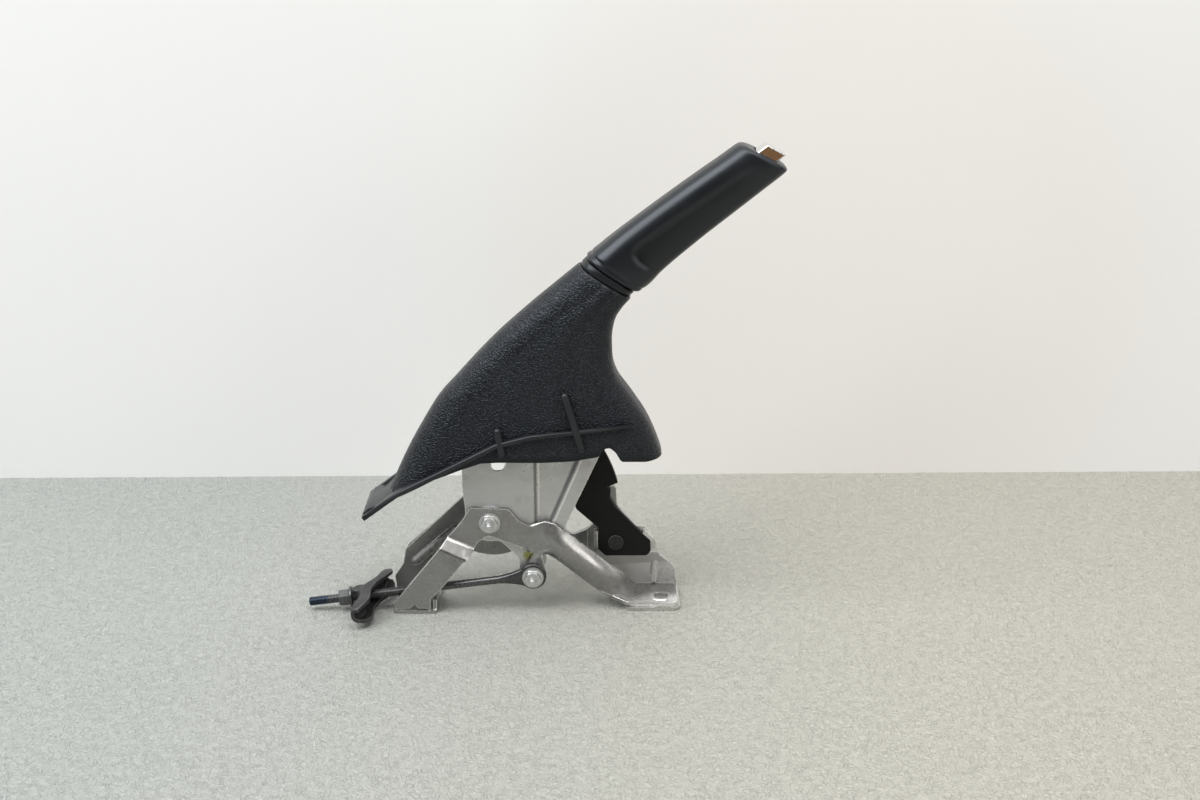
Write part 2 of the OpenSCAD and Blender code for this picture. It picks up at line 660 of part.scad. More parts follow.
// bar that stands on the side of the shroud
module side_rib(a, b, y) {
    d = unit(b - a);
    translate([a[0], y, a[1]]) rotate([0, 90 - atan2(d[1], d[0]), 0]) capsule(rib_d, norm(b - a), $fn = 16);
}
module shroud_rib_pair() {
    side_rib(pv + [6.6, 66], pv + [9.2, 51], base_half + 1.8);
    side_rib(pv + [50.6, 90], pv + [61.4, 54], base_half + 1.6);
}
module shroud() {
    color([0.05, 0.05, 0.055])
    in_place() difference() {
        union() {
            difference() {
                skin(back(shroud_rings(0, 3)));
                slab(-60, 60) skirt_cut();
            }
            // ledge along both sides
            slab(-base_half - ledge_out, base_half + ledge_out) polygon(sheet(ledge, -ledge_t));
            // tail flange
            intersection() {
                slab(-22, 22)
                    polygon(rounded(shift([[-84.2, 7.4], [-80, 11.8, 2], [-72, 15], [-64, 22], [-62, 18],
                                           [-81, 6.8]], pv)));
                linear_extrude(300)
                    polygon([[-215, -16], [-215, 16], [-197, 20.5], [-170, 22], [-170, -22], [-197, -20.5]]);
            }
            shroud_rib_pair();
            mirror([0, 1, 0]) shroud_rib_pair();
        }
        shroud_inside();
        on_handle() rotate([0, 90, 0]) translate([0, 0, -120]) cylinder(d = tube_d + 2 * pass_gap, h = 80);
    }
}
// hollow of the shroud, open below and closed at the neck
module shroud_inside() {
    r = shroud_rings(shroud_wall, 3);
    n = len(r);
    low = [for (p = r[0]) p - [0, 0, 40]];
    skin(back(concat([low], [for (i = [0:n - 2]) r[i]])));
}

// handle
// ring in the handle frame: place s on the axis, slant k, top and bottom v, half width w, side hollow d
function grip_ring(s, k, top, low, w, d, e) =
    let (c = (top + low) / 2, h = (top - low) / 2)
    [for (i = [0:39])
        let (a = i * 9, x = cos(a), y = sin(a),
             py = w * sign(x) * pow(abs(x), e) * (1 - d * pow(max(0, 1 - abs(y) * 1.5), 2)),
             pz = c + h * sign(y) * pow(abs(y), e))
        [s - k * pz, py, pz]];
module neck_collar() {
    k = foot_slant;
    s = grip_foot;
    color([0.07, 0.07, 0.075])
    in_place() on_handle() difference() {
        skin(back([
            grip_ring(s - 0.1, k, 14.4, -20.4, 15.6, 0, 0.7),
            grip_ring(s - 0.6, k, 14.9, -21, 16.2, 0, 0.7),
            grip_ring(s - collar_len + 1.2, k, 14.2, -21.4, 16.4, 0, 0.7),
            grip_ring(s - collar_len + 0.5, k, 13.6, -20.8, 15.8, 0, 0.7)]));
        rotate([0, 90, 0]) translate([0, 0, -120]) cylinder(d = tube_d, h = 100);
    }
}
module grip() {
    h = grip_h / 2;
    w = grip_w / 2;
    f = foot_slant;
    e = end_slant;
    color([0.045, 0.045, 0.05])
    in_place() on_handle() difference() {
        skin(back([
            grip_ring(grip_end + 0.2, e, h - 5.4, -h + 4.6, w - 5, 0, 0.62),
            grip_ring(grip_end, e, h - 3.2, -h + 2.4, w - 2.6, 0, 0.64),
            grip_ring(grip_end - 1.2, e, h - 1.7, -h + 0.3, w - 1.2, 0, 0.66),
            grip_ring(grip_end - 3.4, e, h - 0.9, -h - 0.7, w - 0.5, 0.02, 0.68),
            grip_ring(grip_end - 10, e * 0.98, h - 0.8, -h - 1.1, w, 0.05, 0.7),
            grip_ring(38, 0.45, h - 0.6, -h - 1.3, w, 0.08, 0.7),
            grip_ring(26, 0.43, h - 0.1, -h - 1.6, w, 0.1, 0.7),
            grip_ring(10, 0.42, h + 0.3, -h - 2, w - 0.1, 0.11, 0.7),
            grip_ring(-8, 0.4, h + 0.6, -h - 2.4, w - 0.2, 0.11, 0.7),
            grip_ring(-24, 0.38, h + 0.7, -h - 3.1, w - 0.1, 0.09, 0.7),
            grip_ring(-38, 0.36, h + 0.7, -h - 3.9, w + 0.3, 0.06, 0.7),
            grip_ring(-48, 0.34, h + 0.5, -h - 4.9, w + 0.9, 0.03, 0.7),
            grip_ring(-55, f, h + 0.2, -h - 6.2, w + 1.6, 0, 0.7),
            grip_ring(grip_foot + 6, f, h, -h - 6.6, w + 1.9, 0, 0.7),
            grip_ring(grip_foot + 4.6, f, h - 0.8, -h - 6, w + 1.2, 0, 0.7),
            grip_ring(grip_foot + 3.4, f, h, -h - 6.5, w + 1.8, 0, 0.7),
            grip_ring(grip_foot + 1.2, f, h - 0.2, -h - 6.2, w + 1.6, 0, 0.7),
            grip_ring(grip_foot, f, h - 1.3, -h - 5.2, w + 0.6, 0, 0.7)]));
        rotate([0, 90, 0]) translate([0, 0, -120]) cylinder(d = tube_d, h = 120 + tube_to + 1);
        guide_box(0);
    }
}
// box about the button, grown by g
module guide_box(g) {
    translate([tube_to + 1, -button_w / 2 - guide_wall - g, -button_drop - button_h / 2 - guide_wall - g])
        cube([60, button_w + 2 * guide_wall + 2 * g, button_h + 2 * guide_wall + 2 * g]);
}
module button_box(g, from) {
    translate([from, -button_w / 2 - g, -button_drop - button_h / 2 - g])
        cube([80, button_w + 2 * g, button_h + 2 * g]);
}
// everything ahead of a slanted plane that meets the axis at s
module ahead_of(s) {
    slab(-60, 60)
        polygon([[s - end_slant * 60, 60], [s + end_slant * 60, -60], [s + 200, -60], [s + 200, 60]]);
}
module end_guide() {
    color([0.03, 0.03, 0.035])
    in_place() on_handle() difference() {
        guide_box(0);
        button_box(pass_gap, button_tail - 8);
        rotate([0, 90, 0]) translate([0, 0, tube_to - 5]) cylinder(d = shank_d + 2, h = 20);
        ahead_of(grip_end - 1);
    }
}
// helix of wire along the handle, from s0 to s1
module button_spring() {
    s0 = seat_from + seat_len + spring_wire / 2;
    s1 = tube_to - spring_wire / 2;
    r = (spring_d - spring_wire) / 2;
    n = 16;
    color([0.7, 0.7, 0.72])
    in_place() on_handle() skin([for (i = [0:spring_turns * n])
        let (a = i * 360 / n, s = s0 + (s1 - s0) * i / (spring_turns * n))
        [for (j = [0:7]) let (b = -j * 45, q = r + spring_wire / 2 * cos(b))
            [s + spring_wire / 2 * sin(b), q * cos(a), q * sin(a)]]]);
}
module release_button() {
    color([0.85, 0.85, 0.86])
    in_place() on_handle() difference() {
        union() {
            difference() {
                button_box(0, button_tail);
                ahead_of(grip_end + button_out);
            }
            rotate([0, 90, 0]) translate([0, 0, tube_to + pass_gap])
                cylinder(d = shank_d, h = button_tail - tube_to);
        }
        rotate([0, 90, 0]) translate([0, 0, 0]) cylinder(d = rod_d, h = button_tail + 4);
    }
}
module release_rod() {
    bend = axis0 - 108 * along;
    d = unit(hook_at - bend);
    color([0.6, 0.6, 0.61])
    in_place() {
        on_handle() rotate([0, 90, 0]) translate([0, 0, -108.4])
            cylinder(d = rod_d, h = 108.4 + button_tail + 4);
        translate([bend[0], 0, bend[1]]) rotate([0, 90 - atan2(d[1], d[0]), 0])
            translate([0, 0, -0.4]) cylinder(d = rod_d, h = norm(hook_at - bend) + 2.6);
        pin(hook_at, hook_d, 0, sector_y + sector_t + 0.8);
    }
}

// pawl
module pawl_outline() {
    tip = pv + (sector_r + nose_lift) * out_dir;
    circle_at(pawl_at, pawl_hub_d / 2 + 1);
    circle_at(hook_at, 5);
    polygon([pawl_at + 5 * along, hook_at + 4.4 * along, hook_at - 4.4 * along, pawl_at - 5 * along]);
    polygon([tip + 0.45 * arc_dir, tip - 0.45 * arc_dir, tip - 2 * arc_dir + 3.4 * out_dir,
             pawl_at + 6 * along - 1 * across, pawl_at - 5 * along - 2 * across,
             tip + 2.6 * arc_dir + 3.4 * out_dir]);
}
module circle_at(p, r) {
    translate(p) circle(r = r);
}
module pawl() {
    slot = hook_d / 2 + pass_gap;
    color([0.35, 0.35, 0.36])
    in_place() difference() {
        union() {
            slab(sector_y, pad_y) pawl_outline();
            pin(pawl_at, pawl_hub_d, -lever_in + pass_gap, lever_in - pass_gap);
        }
        pin(pawl_at, pawl_pin_d + 2 * run_gap, -60, 60);
        // the hook slides along this slot as the pawl turns
        slab(-1, 40) {
            circle_at(hook_at + 1.4 * across, slot);
            circle_at(hook_at - 1 * across, slot);
            polygon([hook_at + 1.4 * across + slot * along, hook_at + 1.4 * across - slot * along,
                     hook_at - 1 * across - slot * along, hook_at - 1 * across + slot * along]);
        }
    }
}

// linkage
module pull_rod() {
    color([0.12, 0.12, 0.125])
    in_place() {
        difference() {
            union() {
                pin(clevis, eye_d, eye_near, eye_near + eye_t);
                // forged neck between eye and shank
                on_link() intersection() {
                    rotate([90, 0, 0]) linear_extrude(eye_t, center = true)
                        polygon([[4, 8], [12, 4.6], [24, 2.4], [24, -2.4], [12, -4.6], [4, -8]]);
                    translate([0, -eye_t / 2, -20]) cube([40, eye_t, 40]);
                }
            }
            pin(clevis, thread_d + 2 * run_gap, -60, 0);
        }
        on_link() rotate([0, 90, 0]) {
            translate([0, 0, 20]) cylinder(d = link_shank_d, h = link_len - 20 - link_thread);
            translate([0, 0, link_len - link_thread]) cylinder(d = thread_d, h = link_thread - 0.8);
            translate([0, 0, link_len - 0.8]) cylinder(d1 = thread_d, d2 = thread_d - 1.6, h = 0.8);
        }
    }
}
module adjusting_nut() {
    color([0.07, 0.07, 0.075])
    in_place() on_link() rotate([0, 90, 0]) translate([0, 0, nut_at]) difference() {
        union() {
            cylinder(d = flange_d, h = flange_t);
            translate([0, 0, flange_t]) cylinder(d1 = flange_d - 1, d2 = nut_af + 0.6, h = 0.8);
            hex(nut_af, adjuster_h);
        }
        translate([0, 0, -1]) cylinder(d = thread_d + 2 * run_gap, h = adjuster_h + 2);
    }
}
// place of the equaliser's web in plan, ahead of its middle, at y from its middle
function yoke_x(y) =
    let (q = abs(y) / (yoke_len / 2))
    yoke_sweep * pow(q, 2) + 1.6 * sin(q * 360 - 90) + 1.6;
// section of the channel at y: web at x, half height h, depth d, open towards +X
function yoke_half(x, y, h, d, r) =
    concat([[x + d, y, -h]],
           [for (i = [0:4]) [x + r - r * sin(22.5 * i), y, -h + r - r * cos(22.5 * i)]],
           [for (i = [0:4]) [x + r - r * cos(22.5 * i), y, h - r + r * sin(22.5 * i)]],
           [[x + d, y, h]]);
function yoke_ring(y) =
    let (q = abs(y) / (yoke_len / 2), f = q < 0.6 ? 1 : sqrt(1 - pow((q - 0.6) / 0.42, 2)),
         h = yoke_h / 2 * (0.45 + 0.55 * f),
         d = yoke_depth * (0.3 + 0.7 * f) * (1 - 0.16 * sin(min(q, 0.72) * 250)),
         x = yoke_x(y), r = min(yoke_r, d - 0.4, h - 0.4), t = min(yoke_t, r - 0.4))
    concat(yoke_half(x, y, h, d, r), back(yoke_half(x + t, y, h - t, d - t, r - t)));
module equaliser() {
    e = yoke_len / 2;
    n = 24;
    color([0.16, 0.165, 0.165])
    in_place() on_link() translate([yoke_at, 0, 0]) rotate([0, 0, yoke_yaw]) mirror([1, 0, 0]) difference() {
        union() {
            sheet_skin([for (i = [0:n]) yoke_ring(-e + 2 * e * i / n)]);
            // round boss that the nut bears on
            translate([0, 0, -yoke_h / 2 + 2]) cylinder(d = yoke_boss, h = yoke_h - 4);
        }
        // slot for the rod and holes for the cables
        for (y = [-1.6, 1.6]) translate([-8, y, 0]) rotate([0, 90, 0]) cylinder(d = thread_d + 1, h = 24);
        translate([-8, -1.6, -thread_d / 2 - 0.5]) cube([24, 3.2, thread_d + 1]);
        for (y = [10 - e, e - 10]) translate([-5, y, 0]) rotate([0, 90, 0]) cylinder(d = cable_hole, h = 12);
    }
}

far_bracket();
near_bracket();
ratchet_sector();
sector_rivet();
pivot_bolt();
pivot_nut();
pivot_washer_near();
pivot_washer_far();
lever_channel();
pivot_bush();
lever_tube();
spring_seat();
pawl_pin();
clevis_bolt();
clevis_nut();
clevis_spacer();
shroud();
neck_collar();
grip();
end_guide();
button_spring();
release_button();
release_rod();
pawl();
pull_rod();
adjusting_nut();
equaliser();
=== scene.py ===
"""Looks of the parking brake lever: materials, moulded shells, thread and a plain studio."""

import math

import bpy
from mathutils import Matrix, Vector


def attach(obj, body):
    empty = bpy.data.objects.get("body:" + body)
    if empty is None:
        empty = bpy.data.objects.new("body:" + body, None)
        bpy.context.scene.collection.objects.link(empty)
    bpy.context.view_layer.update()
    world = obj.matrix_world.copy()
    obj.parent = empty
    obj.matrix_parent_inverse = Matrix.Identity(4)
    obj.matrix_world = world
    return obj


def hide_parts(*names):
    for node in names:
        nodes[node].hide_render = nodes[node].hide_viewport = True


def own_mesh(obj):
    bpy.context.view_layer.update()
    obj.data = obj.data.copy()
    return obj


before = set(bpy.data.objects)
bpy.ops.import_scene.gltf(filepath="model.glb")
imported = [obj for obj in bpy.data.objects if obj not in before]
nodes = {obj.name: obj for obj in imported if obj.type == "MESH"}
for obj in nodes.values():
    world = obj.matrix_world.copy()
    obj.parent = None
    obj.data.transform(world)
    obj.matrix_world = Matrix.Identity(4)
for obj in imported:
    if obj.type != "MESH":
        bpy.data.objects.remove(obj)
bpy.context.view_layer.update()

# Places are in millimetres about the middle plane of the lever, as in the part's source.
MM = 0.001
MID_PLANE = 6.9
PIVOT = (-114.8, 62.4)
HANDLE_ORIGIN = (16.7, 271.6)
HANDLE_RISE = math.radians(37.3)
CLEVIS = (-86.3, 24.9)
LINK_Y = -18.0
LINK_FALL = math.radians(7.2)


# Geometry helpers


def placed(x, y, z):
    """A point of the model in metres, from millimetres about the middle plane."""
    return Vector((x, y + MID_PLANE, z)) * MM


def on_handle(s, y, v):
    """A point s along the handle and v across it."""
    c, n = math.cos(HANDLE_RISE), math.sin(HANDLE_RISE)
    return placed(HANDLE_ORIGIN[0] + s * c - v * n, y, HANDLE_ORIGIN[1] + s * n + v * c)


def on_link(s, y, v):
    """A point s along the pull rod, from its eye to the rear, and v above it."""
    c, n = math.cos(LINK_FALL), math.sin(LINK_FALL)
    return placed(CLEVIS[0] - s * c - v * n, LINK_Y + y, CLEVIS[1] - s * n + v * c)


def from_pivot(points):
    """Points measured from the pivot; a corner radius after a point is kept."""
    return [(PIVOT[0] + p[0], PIVOT[1] + p[1], *p[2:]) for p in points]


# One millimetre along the handle.
HANDLE_STEP = on_handle(1, 0, 0) - on_handle(0, 0, 0)


def circle(size):
    """Angles of evenly spaced points round a circle."""
    return [2 * math.pi * k / size for k in range(size)]


def squared(x, power):
    """A sine or cosine with its size raised to a power: below 1 the section is squarer than round."""
    return math.copysign(abs(x) ** power, x)


def eased(x):
    """Smooth step from 0 to 1."""
    x = max(0.0, min(1.0, x))
    return x * x * (3 - 2 * x)


def spline_at(points, t):
    """Point at share t of a smooth curve through the points."""
    n = len(points) - 1
    i = min(int(t * n), n - 1)
    u = t * n - i
    a, b, c, d = (points[max(0, min(n, i + k))] for k in (-1, 0, 1, 2))
    return tuple(
        0.5 * (2 * q + (r - p) * u + (2 * p - 5 * q + 4 * r - s) * u**2 + (3 * q - p - 3 * r + s) * u**3)
        for p, q, r, s in zip(a, b, c, d)
    )


def bent(points, steps):
    """Open path through points, with a rounded corner at each point that has a radius."""
    path = [Vector(points[0][:2])]
    for before, at, after in zip(points, points[1:], points[2:]):
        p = Vector(at[:2])
        u = (Vector(before[:2]) - p).normalized()
        w = (Vector(after[:2]) - p).normalized()
        half = u.angle(w) / 2
        start = p + u * at[2] / math.tan(half)
        end = p + w * at[2] / math.tan(half)
        for i in range(steps + 1):
            k = i / steps
            path.append(start * (1 - k) ** 2 + p * (2 * k * (1 - k)) + end * k**2)
    path.append(Vector(points[-1][:2]))
    return path


def loft_faces(rings, size, capped=False, joined=False):
    """Quads between rings of one size: with flat ends, or with the last ring joined to the first."""
    faces = []
    for i in range(rings if joined else rings - 1):
        after = (i + 1) % rings
        for j in range(size):
            k = (j + 1) % size
            faces.append((i * size + j, i * size + k, after * size + k, after * size + j))
    if capped:
        faces.append(tuple(range(size))[::-1])
        faces.append(tuple((rings - 1) * size + j for j in range(size)))
    return faces


def turn_outward(made):
    """Turns the faces of a closed or nearly closed mesh outward."""
    bpy.context.view_layer.objects.active = made
    bpy.ops.object.select_all(action="DESELECT")
    made.select_set(True)
    bpy.ops.object.mode_set(mode="EDIT")
    bpy.ops.mesh.select_all(action="SELECT")
    bpy.ops.mesh.normals_make_consistent(inside=False)
    bpy.ops.object.mode_set(mode="OBJECT")


def piece(name, points, faces, body, looks):
    """A smooth mesh piece that rides on a body."""
    mesh = bpy.data.meshes.new(name)
    mesh.from_pydata([tuple(p) for p in points], [], faces)
    mesh.validate()
    for polygon in mesh.polygons:
        polygon.use_smooth = True
    for look in looks:
        mesh.materials.append(look)
    made = bpy.data.objects.new(name, mesh)
    bpy.context.scene.collection.objects.link(made)
    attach(made, body)
    turn_outward(made)
    return made


def soften(made, width, segments, angle, edge_slot=-1):
    """Rounds the edges sharper than the angle; slot -1 leaves them the material of their faces."""
    bevel = made.modifiers.new("rounded_edges", "BEVEL")
    bevel.width = width * MM
    bevel.segments = segments
    bevel.limit_method = "ANGLE"
    bevel.angle_limit = math.radians(angle)
    bevel.use_clamp_overlap = False
    bevel.material = edge_slot
    bevel.miter_outer = "MITER_ARC"


# Material helpers

# Sockets of a colour mix, by number because several of them share a name.
MIX_SHARE, MIX_A, MIX_B, MIX_RESULT = 0, 6, 7, 2
# A mark or a line is full over this share of its width, and its edge wobbles.
MARK_CORE, MARK_WOBBLE_SCALE = 0.55, 900.0
LINE_CORE, LINE_WOBBLE_SCALE, LINE_WOBBLE = 0.25, 260.0, 0.0006
NOISE_MIDDLE = (0.5, 0.5, 0.5)


class Look:
    """One procedural material; its textures follow the model's frame, in metres."""

    def __init__(self, name, metallic=0.0, specular=0.5, tint=(1.0, 1.0, 1.0)):
        self.material = bpy.data.materials.new(name)
        self.material.use_nodes = True
        self.tree = self.material.node_tree
        self.shader = self.tree.nodes["Principled BSDF"]
        self.feed(self.shader.inputs["Metallic"], metallic)
        self.feed(self.shader.inputs["Specular IOR Level"], specular)
        self.feed(self.shader.inputs["Specular Tint"], tint)
        self.place = self.tree.nodes.new("ShaderNodeTexCoord").outputs["Object"]

    def feed(self, socket, value):
        """Gives an input another node's output, a colour or a plain value."""
        if isinstance(value, bpy.types.NodeSocket):
            self.tree.links.new(value, socket)
        elif socket.type == "RGBA":
            socket.default_value = (*value, 1.0)
        else:
            socket.default_value = value

    def node(self, kind, inputs=None, **settings):
        """A new node with its settings and inputs."""
        made = self.tree.nodes.new(kind)
        for name, value in settings.items():
            setattr(made, name, value)
        for name, value in (inputs or {}).items():
            self.feed(made.inputs[name], value)
        return made

    def calc(self, operation, a, b):
        """A sum, difference or product of two values."""
        return self.node("ShaderNodeMath", {0: a, 1: b}, operation=operation).outputs["Value"]

    def vector(self, operation, a, b, result="Vector"):
        """A vector operation on a and b."""
        return self.node("ShaderNodeVectorMath", {0: a, 1: b}, operation=operation).outputs[result]

    def scaled(self, a, factor):
        """A vector times a factor."""
        inputs = {0: a, "Scale": factor}
        return self.node("ShaderNodeVectorMath", inputs, operation="SCALE").outputs["Vector"]

    def level(self, value, low, high, to_low=0.0, to_high=1.0):
        """The value eased from low..high to to_low..to_high."""
        inputs = {"Value": value, "From Min": low, "From Max": high, "To Min": to_low, "To Max": to_high}
        return self.node("ShaderNodeMapRange", inputs, interpolation_type="SMOOTHSTEP").outputs["Result"]

    def mixed(self, share, a, b):
        """A colour between a and b."""
        inputs = {MIX_SHARE: share, MIX_A: a, MIX_B: b}
        return self.node("ShaderNodeMix", inputs, data_type="RGBA").outputs[MIX_RESULT]

    def noise(self, scale, detail=3.0, roughness=0.55, distortion=0.0, place=None):
        """Soft noise with about that many lumps in a metre."""
        inputs = {
            "Vector": place or self.place,
            "Scale": scale,
            "Detail": detail,
            "Roughness": roughness,
            "Distortion": distortion,
        }
        return self.node("ShaderNodeTexNoise", inputs).outputs["Fac"]

    def cells(self, scale, place, feature="SMOOTH_F1"):
        """Distances in a cell pattern."""
        inputs = {"Vector": place, "Scale": scale}
        return self.node("ShaderNodeTexVoronoi", inputs, feature=feature).outputs["Distance"]

    def stretched(self, scale, turn):
        """The place, turned and stretched."""
        inputs = {"Vector": self.place, "Scale": scale, "Rotation": turn}
        return self.node("ShaderNodeMapping", inputs).outputs["Vector"]

    def shaken(self, scale, amount):
        """The place, moved about by noise."""
        inputs = {"Vector": self.place, "Scale": scale, "Detail": 2.0}
        wobble = self.node("ShaderNodeTexNoise", inputs).outputs["Color"]
        away = self.vector("SUBTRACT", wobble, NOISE_MIDDLE)
        return self.vector("ADD", self.place, self.scaled(away, amount))

    def near(self, point, radius, ragged=0.0):
        """1 about a point, falling to 0 at the radius."""
        place = self.shaken(MARK_WOBBLE_SCALE, ragged) if ragged else self.place
        away = self.vector("DISTANCE", place, point, "Value")
        return self.level(away, radius, radius * MARK_CORE)

    def along(self, a, b, width):
        """1 on the line from a to b, seen from the side, falling to 0 at the width; in millimetres."""
        a, b = Vector((a[0], 0.0, a[1])) * MM, Vector((b[0], 0.0, b[1])) * MM
        run = b - a
        flat = self.vector("MULTIPLY", self.shaken(LINE_WOBBLE_SCALE, LINE_WOBBLE), (1.0, 0.0, 1.0))
        away = self.vector("SUBTRACT", flat, tuple(a))
        share = self.vector("DOT_PRODUCT", away, tuple(run / run.length_squared), "Value")
        held = self.node("ShaderNodeClamp", {"Value": share}).outputs["Result"]
        gap = self.vector("DISTANCE", away, self.scaled(tuple(run), held), "Value")
        return self.level(gap, width * MM, width * LINE_CORE * MM)

    def bump(self, height, strength, distance, before=None):
        """A normal raised by the height, on top of an earlier one."""
        inputs = {"Height": height, "Strength": strength, "Distance": distance}
        if before is not None:
            inputs["Normal"] = before
        return self.node("ShaderNodeBump", inputs).outputs["Normal"]

    def finish(self, color, roughness, normal=None):
        """Joins everything to the shader and gives the material."""
        self.feed(self.shader.inputs["Base Color"], color)
        self.feed(self.shader.inputs["Roughness"], roughness)
        if normal is not None:
            self.feed(self.shader.inputs["Normal"], normal)
        return self.material


def times(color, factor):
    """A colour made darker or lighter."""
    return tuple(c * factor for c in color)


# Kinds of surface

COOL_SHEEN = (0.84, 0.91, 1.0)


def pebbled_plastic(name):
    """Moulded black plastic with a fine leather grain."""
    pit, pebble, dusty = (0.0012, 0.0015, 0.003), (0.0042, 0.005, 0.0082), (0.009, 0.0098, 0.0122)
    look = Look(name, specular=0.5, tint=COOL_SHEEN)
    pebbles = look.cells(950.0, look.shaken(500.0, 0.0008))
    fine = look.noise(3200.0)
    dust = look.noise(55.0, detail=4.0)
    raised = look.level(pebbles, 0.62, 0.12)
    color = look.mixed(raised, pit, pebble)
    color = look.mixed(look.level(dust, 0.5, 0.85, 0.0, 0.25), color, dusty)
    roughness = look.level(pebbles, 0.1, 0.6, 0.27, 0.43)
    normal = look.bump(raised, 0.9, 0.00048, look.bump(fine, 0.14, 0.0001))
    return look.finish(color, roughness, normal)


def satin_plastic(name, tone, roughness, cool=1.12):
    """Smooth satin plastic of one tone, whose paler patches are a little cooler."""
    look = Look(name, specular=0.45, tint=COOL_SHEEN)
    fine = look.noise(1500.0)
    broad = look.noise(40.0, detail=4.0)
    darker = (tone * 0.8, tone * 0.82, tone * 0.88)
    paler = (tone * 1.2, tone * 1.22, tone * 1.2 * cool)
    color = look.mixed(look.level(broad, 0.3, 0.75), darker, paler)
    rough = look.level(broad, 0.25, 0.8, roughness - 0.06, roughness + 0.1)
    return look.finish(color, rough, look.bump(fine, 0.1, 0.0001))


def grip_plastic(name):
    """Soft-touch skin of the grip; the hollow panel on each side is smoother, and painted darker as shade in
    its recess.
    """
    darker, paler, hollow = (0.0055, 0.006, 0.0075), (0.009, 0.0098, 0.0118), (0.0034, 0.0036, 0.0044)
    look = Look(name, specular=0.55, tint=COOL_SHEEN)
    fine = look.noise(1900.0, detail=4.0)
    broad = look.noise(34.0, detail=4.0)
    panel = look.node("ShaderNodeAttribute", attribute_name="panel").outputs["Fac"]
    skin = look.mixed(look.level(broad, 0.3, 0.75), darker, paler)
    # Painted shade: the hollow panel is coloured darker.
    color = look.mixed(look.level(panel, 0.25, 0.75), skin, hollow)
    smoother = look.level(panel, 0.2, 0.8, 0.0, 0.05)
    rough = look.calc("SUBTRACT", look.level(broad, 0.25, 0.8, 0.3, 0.39), smoother)
    return look.finish(color, rough, look.bump(fine, 0.09, 0.0001))


def steel(name, base, spread, roughness, marks=(), lines=()):
    """Pressed sheet steel with a thin oily haze, faint rolling lines, smudges, painted highlight and shade
    along its bends, and marks of paint or painted highlight.
    """
    smudged, line_share, mark_wobble = (0.12, 0.114, 0.106), 0.85, 0.004
    dark, light = times(base, 1 - spread), times(base, 1 + spread)
    look = Look(name, metallic=0.7)
    broad = look.noise(24.0, detail=5.0, roughness=0.6)
    fine = look.noise(260.0, detail=1.5)
    rolled = look.noise(62.0, detail=1.5, place=look.stretched((1.0, 1.0, 9.0), (0.0, 0.6, 0.0)))
    smudge = look.noise(48.0, roughness=0.5, distortion=0.8)
    color = look.mixed(look.level(broad, 0.3, 0.5), dark, base)
    color = look.mixed(look.level(broad, 0.52, 0.75), color, light)
    color = look.mixed(look.level(rolled, 0.45, 0.7, 0.0, 0.3), color, light)
    color = look.mixed(look.level(smudge, 0.58, 0.8, 0.0, 0.4), color, smudged)
    # Painted highlight and painted shade along the bends.
    for a, b, width, tint in lines:
        color = look.mixed(look.calc("MULTIPLY", look.along(a, b, width), line_share), color, tint)
    for point, radius, tint in marks:
        color = look.mixed(look.near(point, radius, mark_wobble), color, tint)
    rough = look.calc("ADD", look.level(fine, 0.3, 0.7, roughness - 0.07, roughness + 0.07),
                      look.level(broad, 0.35, 0.7, 0.06, -0.04))
    normal = look.bump(rolled, 0.05, 0.0003, look.bump(fine, 0.08, 0.0001))
    return look.finish(color, rough, normal)


def coated_steel(name, tone, worn, roughness, metallic=0.35, marks=(), specular=0.5):
    """Black coated steel, rubbed through here and there."""
    mark_wobble = 0.003
    darker = (tone * 0.75, tone * 0.76, tone * 0.78)
    paler = (tone * 1.25, tone * 1.26, tone * 1.28)
    look = Look(name, metallic, specular)
    fine = look.noise(700.0, detail=4.0)
    rubbed = look.noise(130.0, detail=5.0, roughness=0.65)
    broad = look.noise(45.0)
    color = look.mixed(look.level(broad, 0.3, 0.7), darker, paler)
    color = look.mixed(look.level(rubbed, 0.62, 0.78, 0.0, 0.6), color, worn)
    for point, radius, tint in marks:
        color = look.mixed(look.near(point, radius, mark_wobble), color, tint)
    rough = look.level(fine, 0.3, 0.7, roughness - 0.08, roughness + 0.1)
    return look.finish(color, rough, look.bump(fine, 0.12, 0.0001))


def plated(name, base, roughness, metallic=1.0):
    """Zinc or chrome plate, or another bright metal."""
    look = Look(name, metallic=metallic)
    broad = look.noise(180.0, detail=4.0)
    fine = look.noise(1400.0)
    color = look.mixed(look.level(broad, 0.3, 0.7), times(base, 0.88), base)
    rough = look.level(broad, 0.3, 0.75, roughness * 0.8, roughness * 1.25)
    return look.finish(color, rough, look.bump(fine, 0.05, 0.00005))


def leatherette(name):
    """Pale floor sheet with a creased grain, cooler on the left and warmer on the right."""
    cool, warm, crease = (0.415, 0.433, 0.416), (0.495, 0.482, 0.427), (0.22, 0.215, 0.2)
    look = Look(name, specular=0.35)
    place = look.shaken(230.0, 0.0042)
    large = look.cells(330.0, place, "DISTANCE_TO_EDGE")
    small = look.cells(760.0, place, "DISTANCE_TO_EDGE")
    depth = look.level(look.noise(150.0, detail=2.0), 0.35, 0.65, 0.45, 1.0)
    line = look.calc("MULTIPLY", look.level(large, 0.24, 0.0), depth)
    fine_line = look.calc("MULTIPLY", look.level(small, 0.2, 0.0), 0.35)
    height = look.calc("SUBTRACT", 1.0, look.calc("ADD", line, fine_line))
    across = look.node("ShaderNodeSeparateXYZ", {"Vector": look.place}).outputs["X"]
    color = look.mixed(look.level(across, -0.4, 0.25), cool, warm)
    color = look.mixed(look.calc("MULTIPLY", line, 0.09), color, crease)
    return look.finish(color, 0.5, look.bump(height, 0.9, 0.0009))


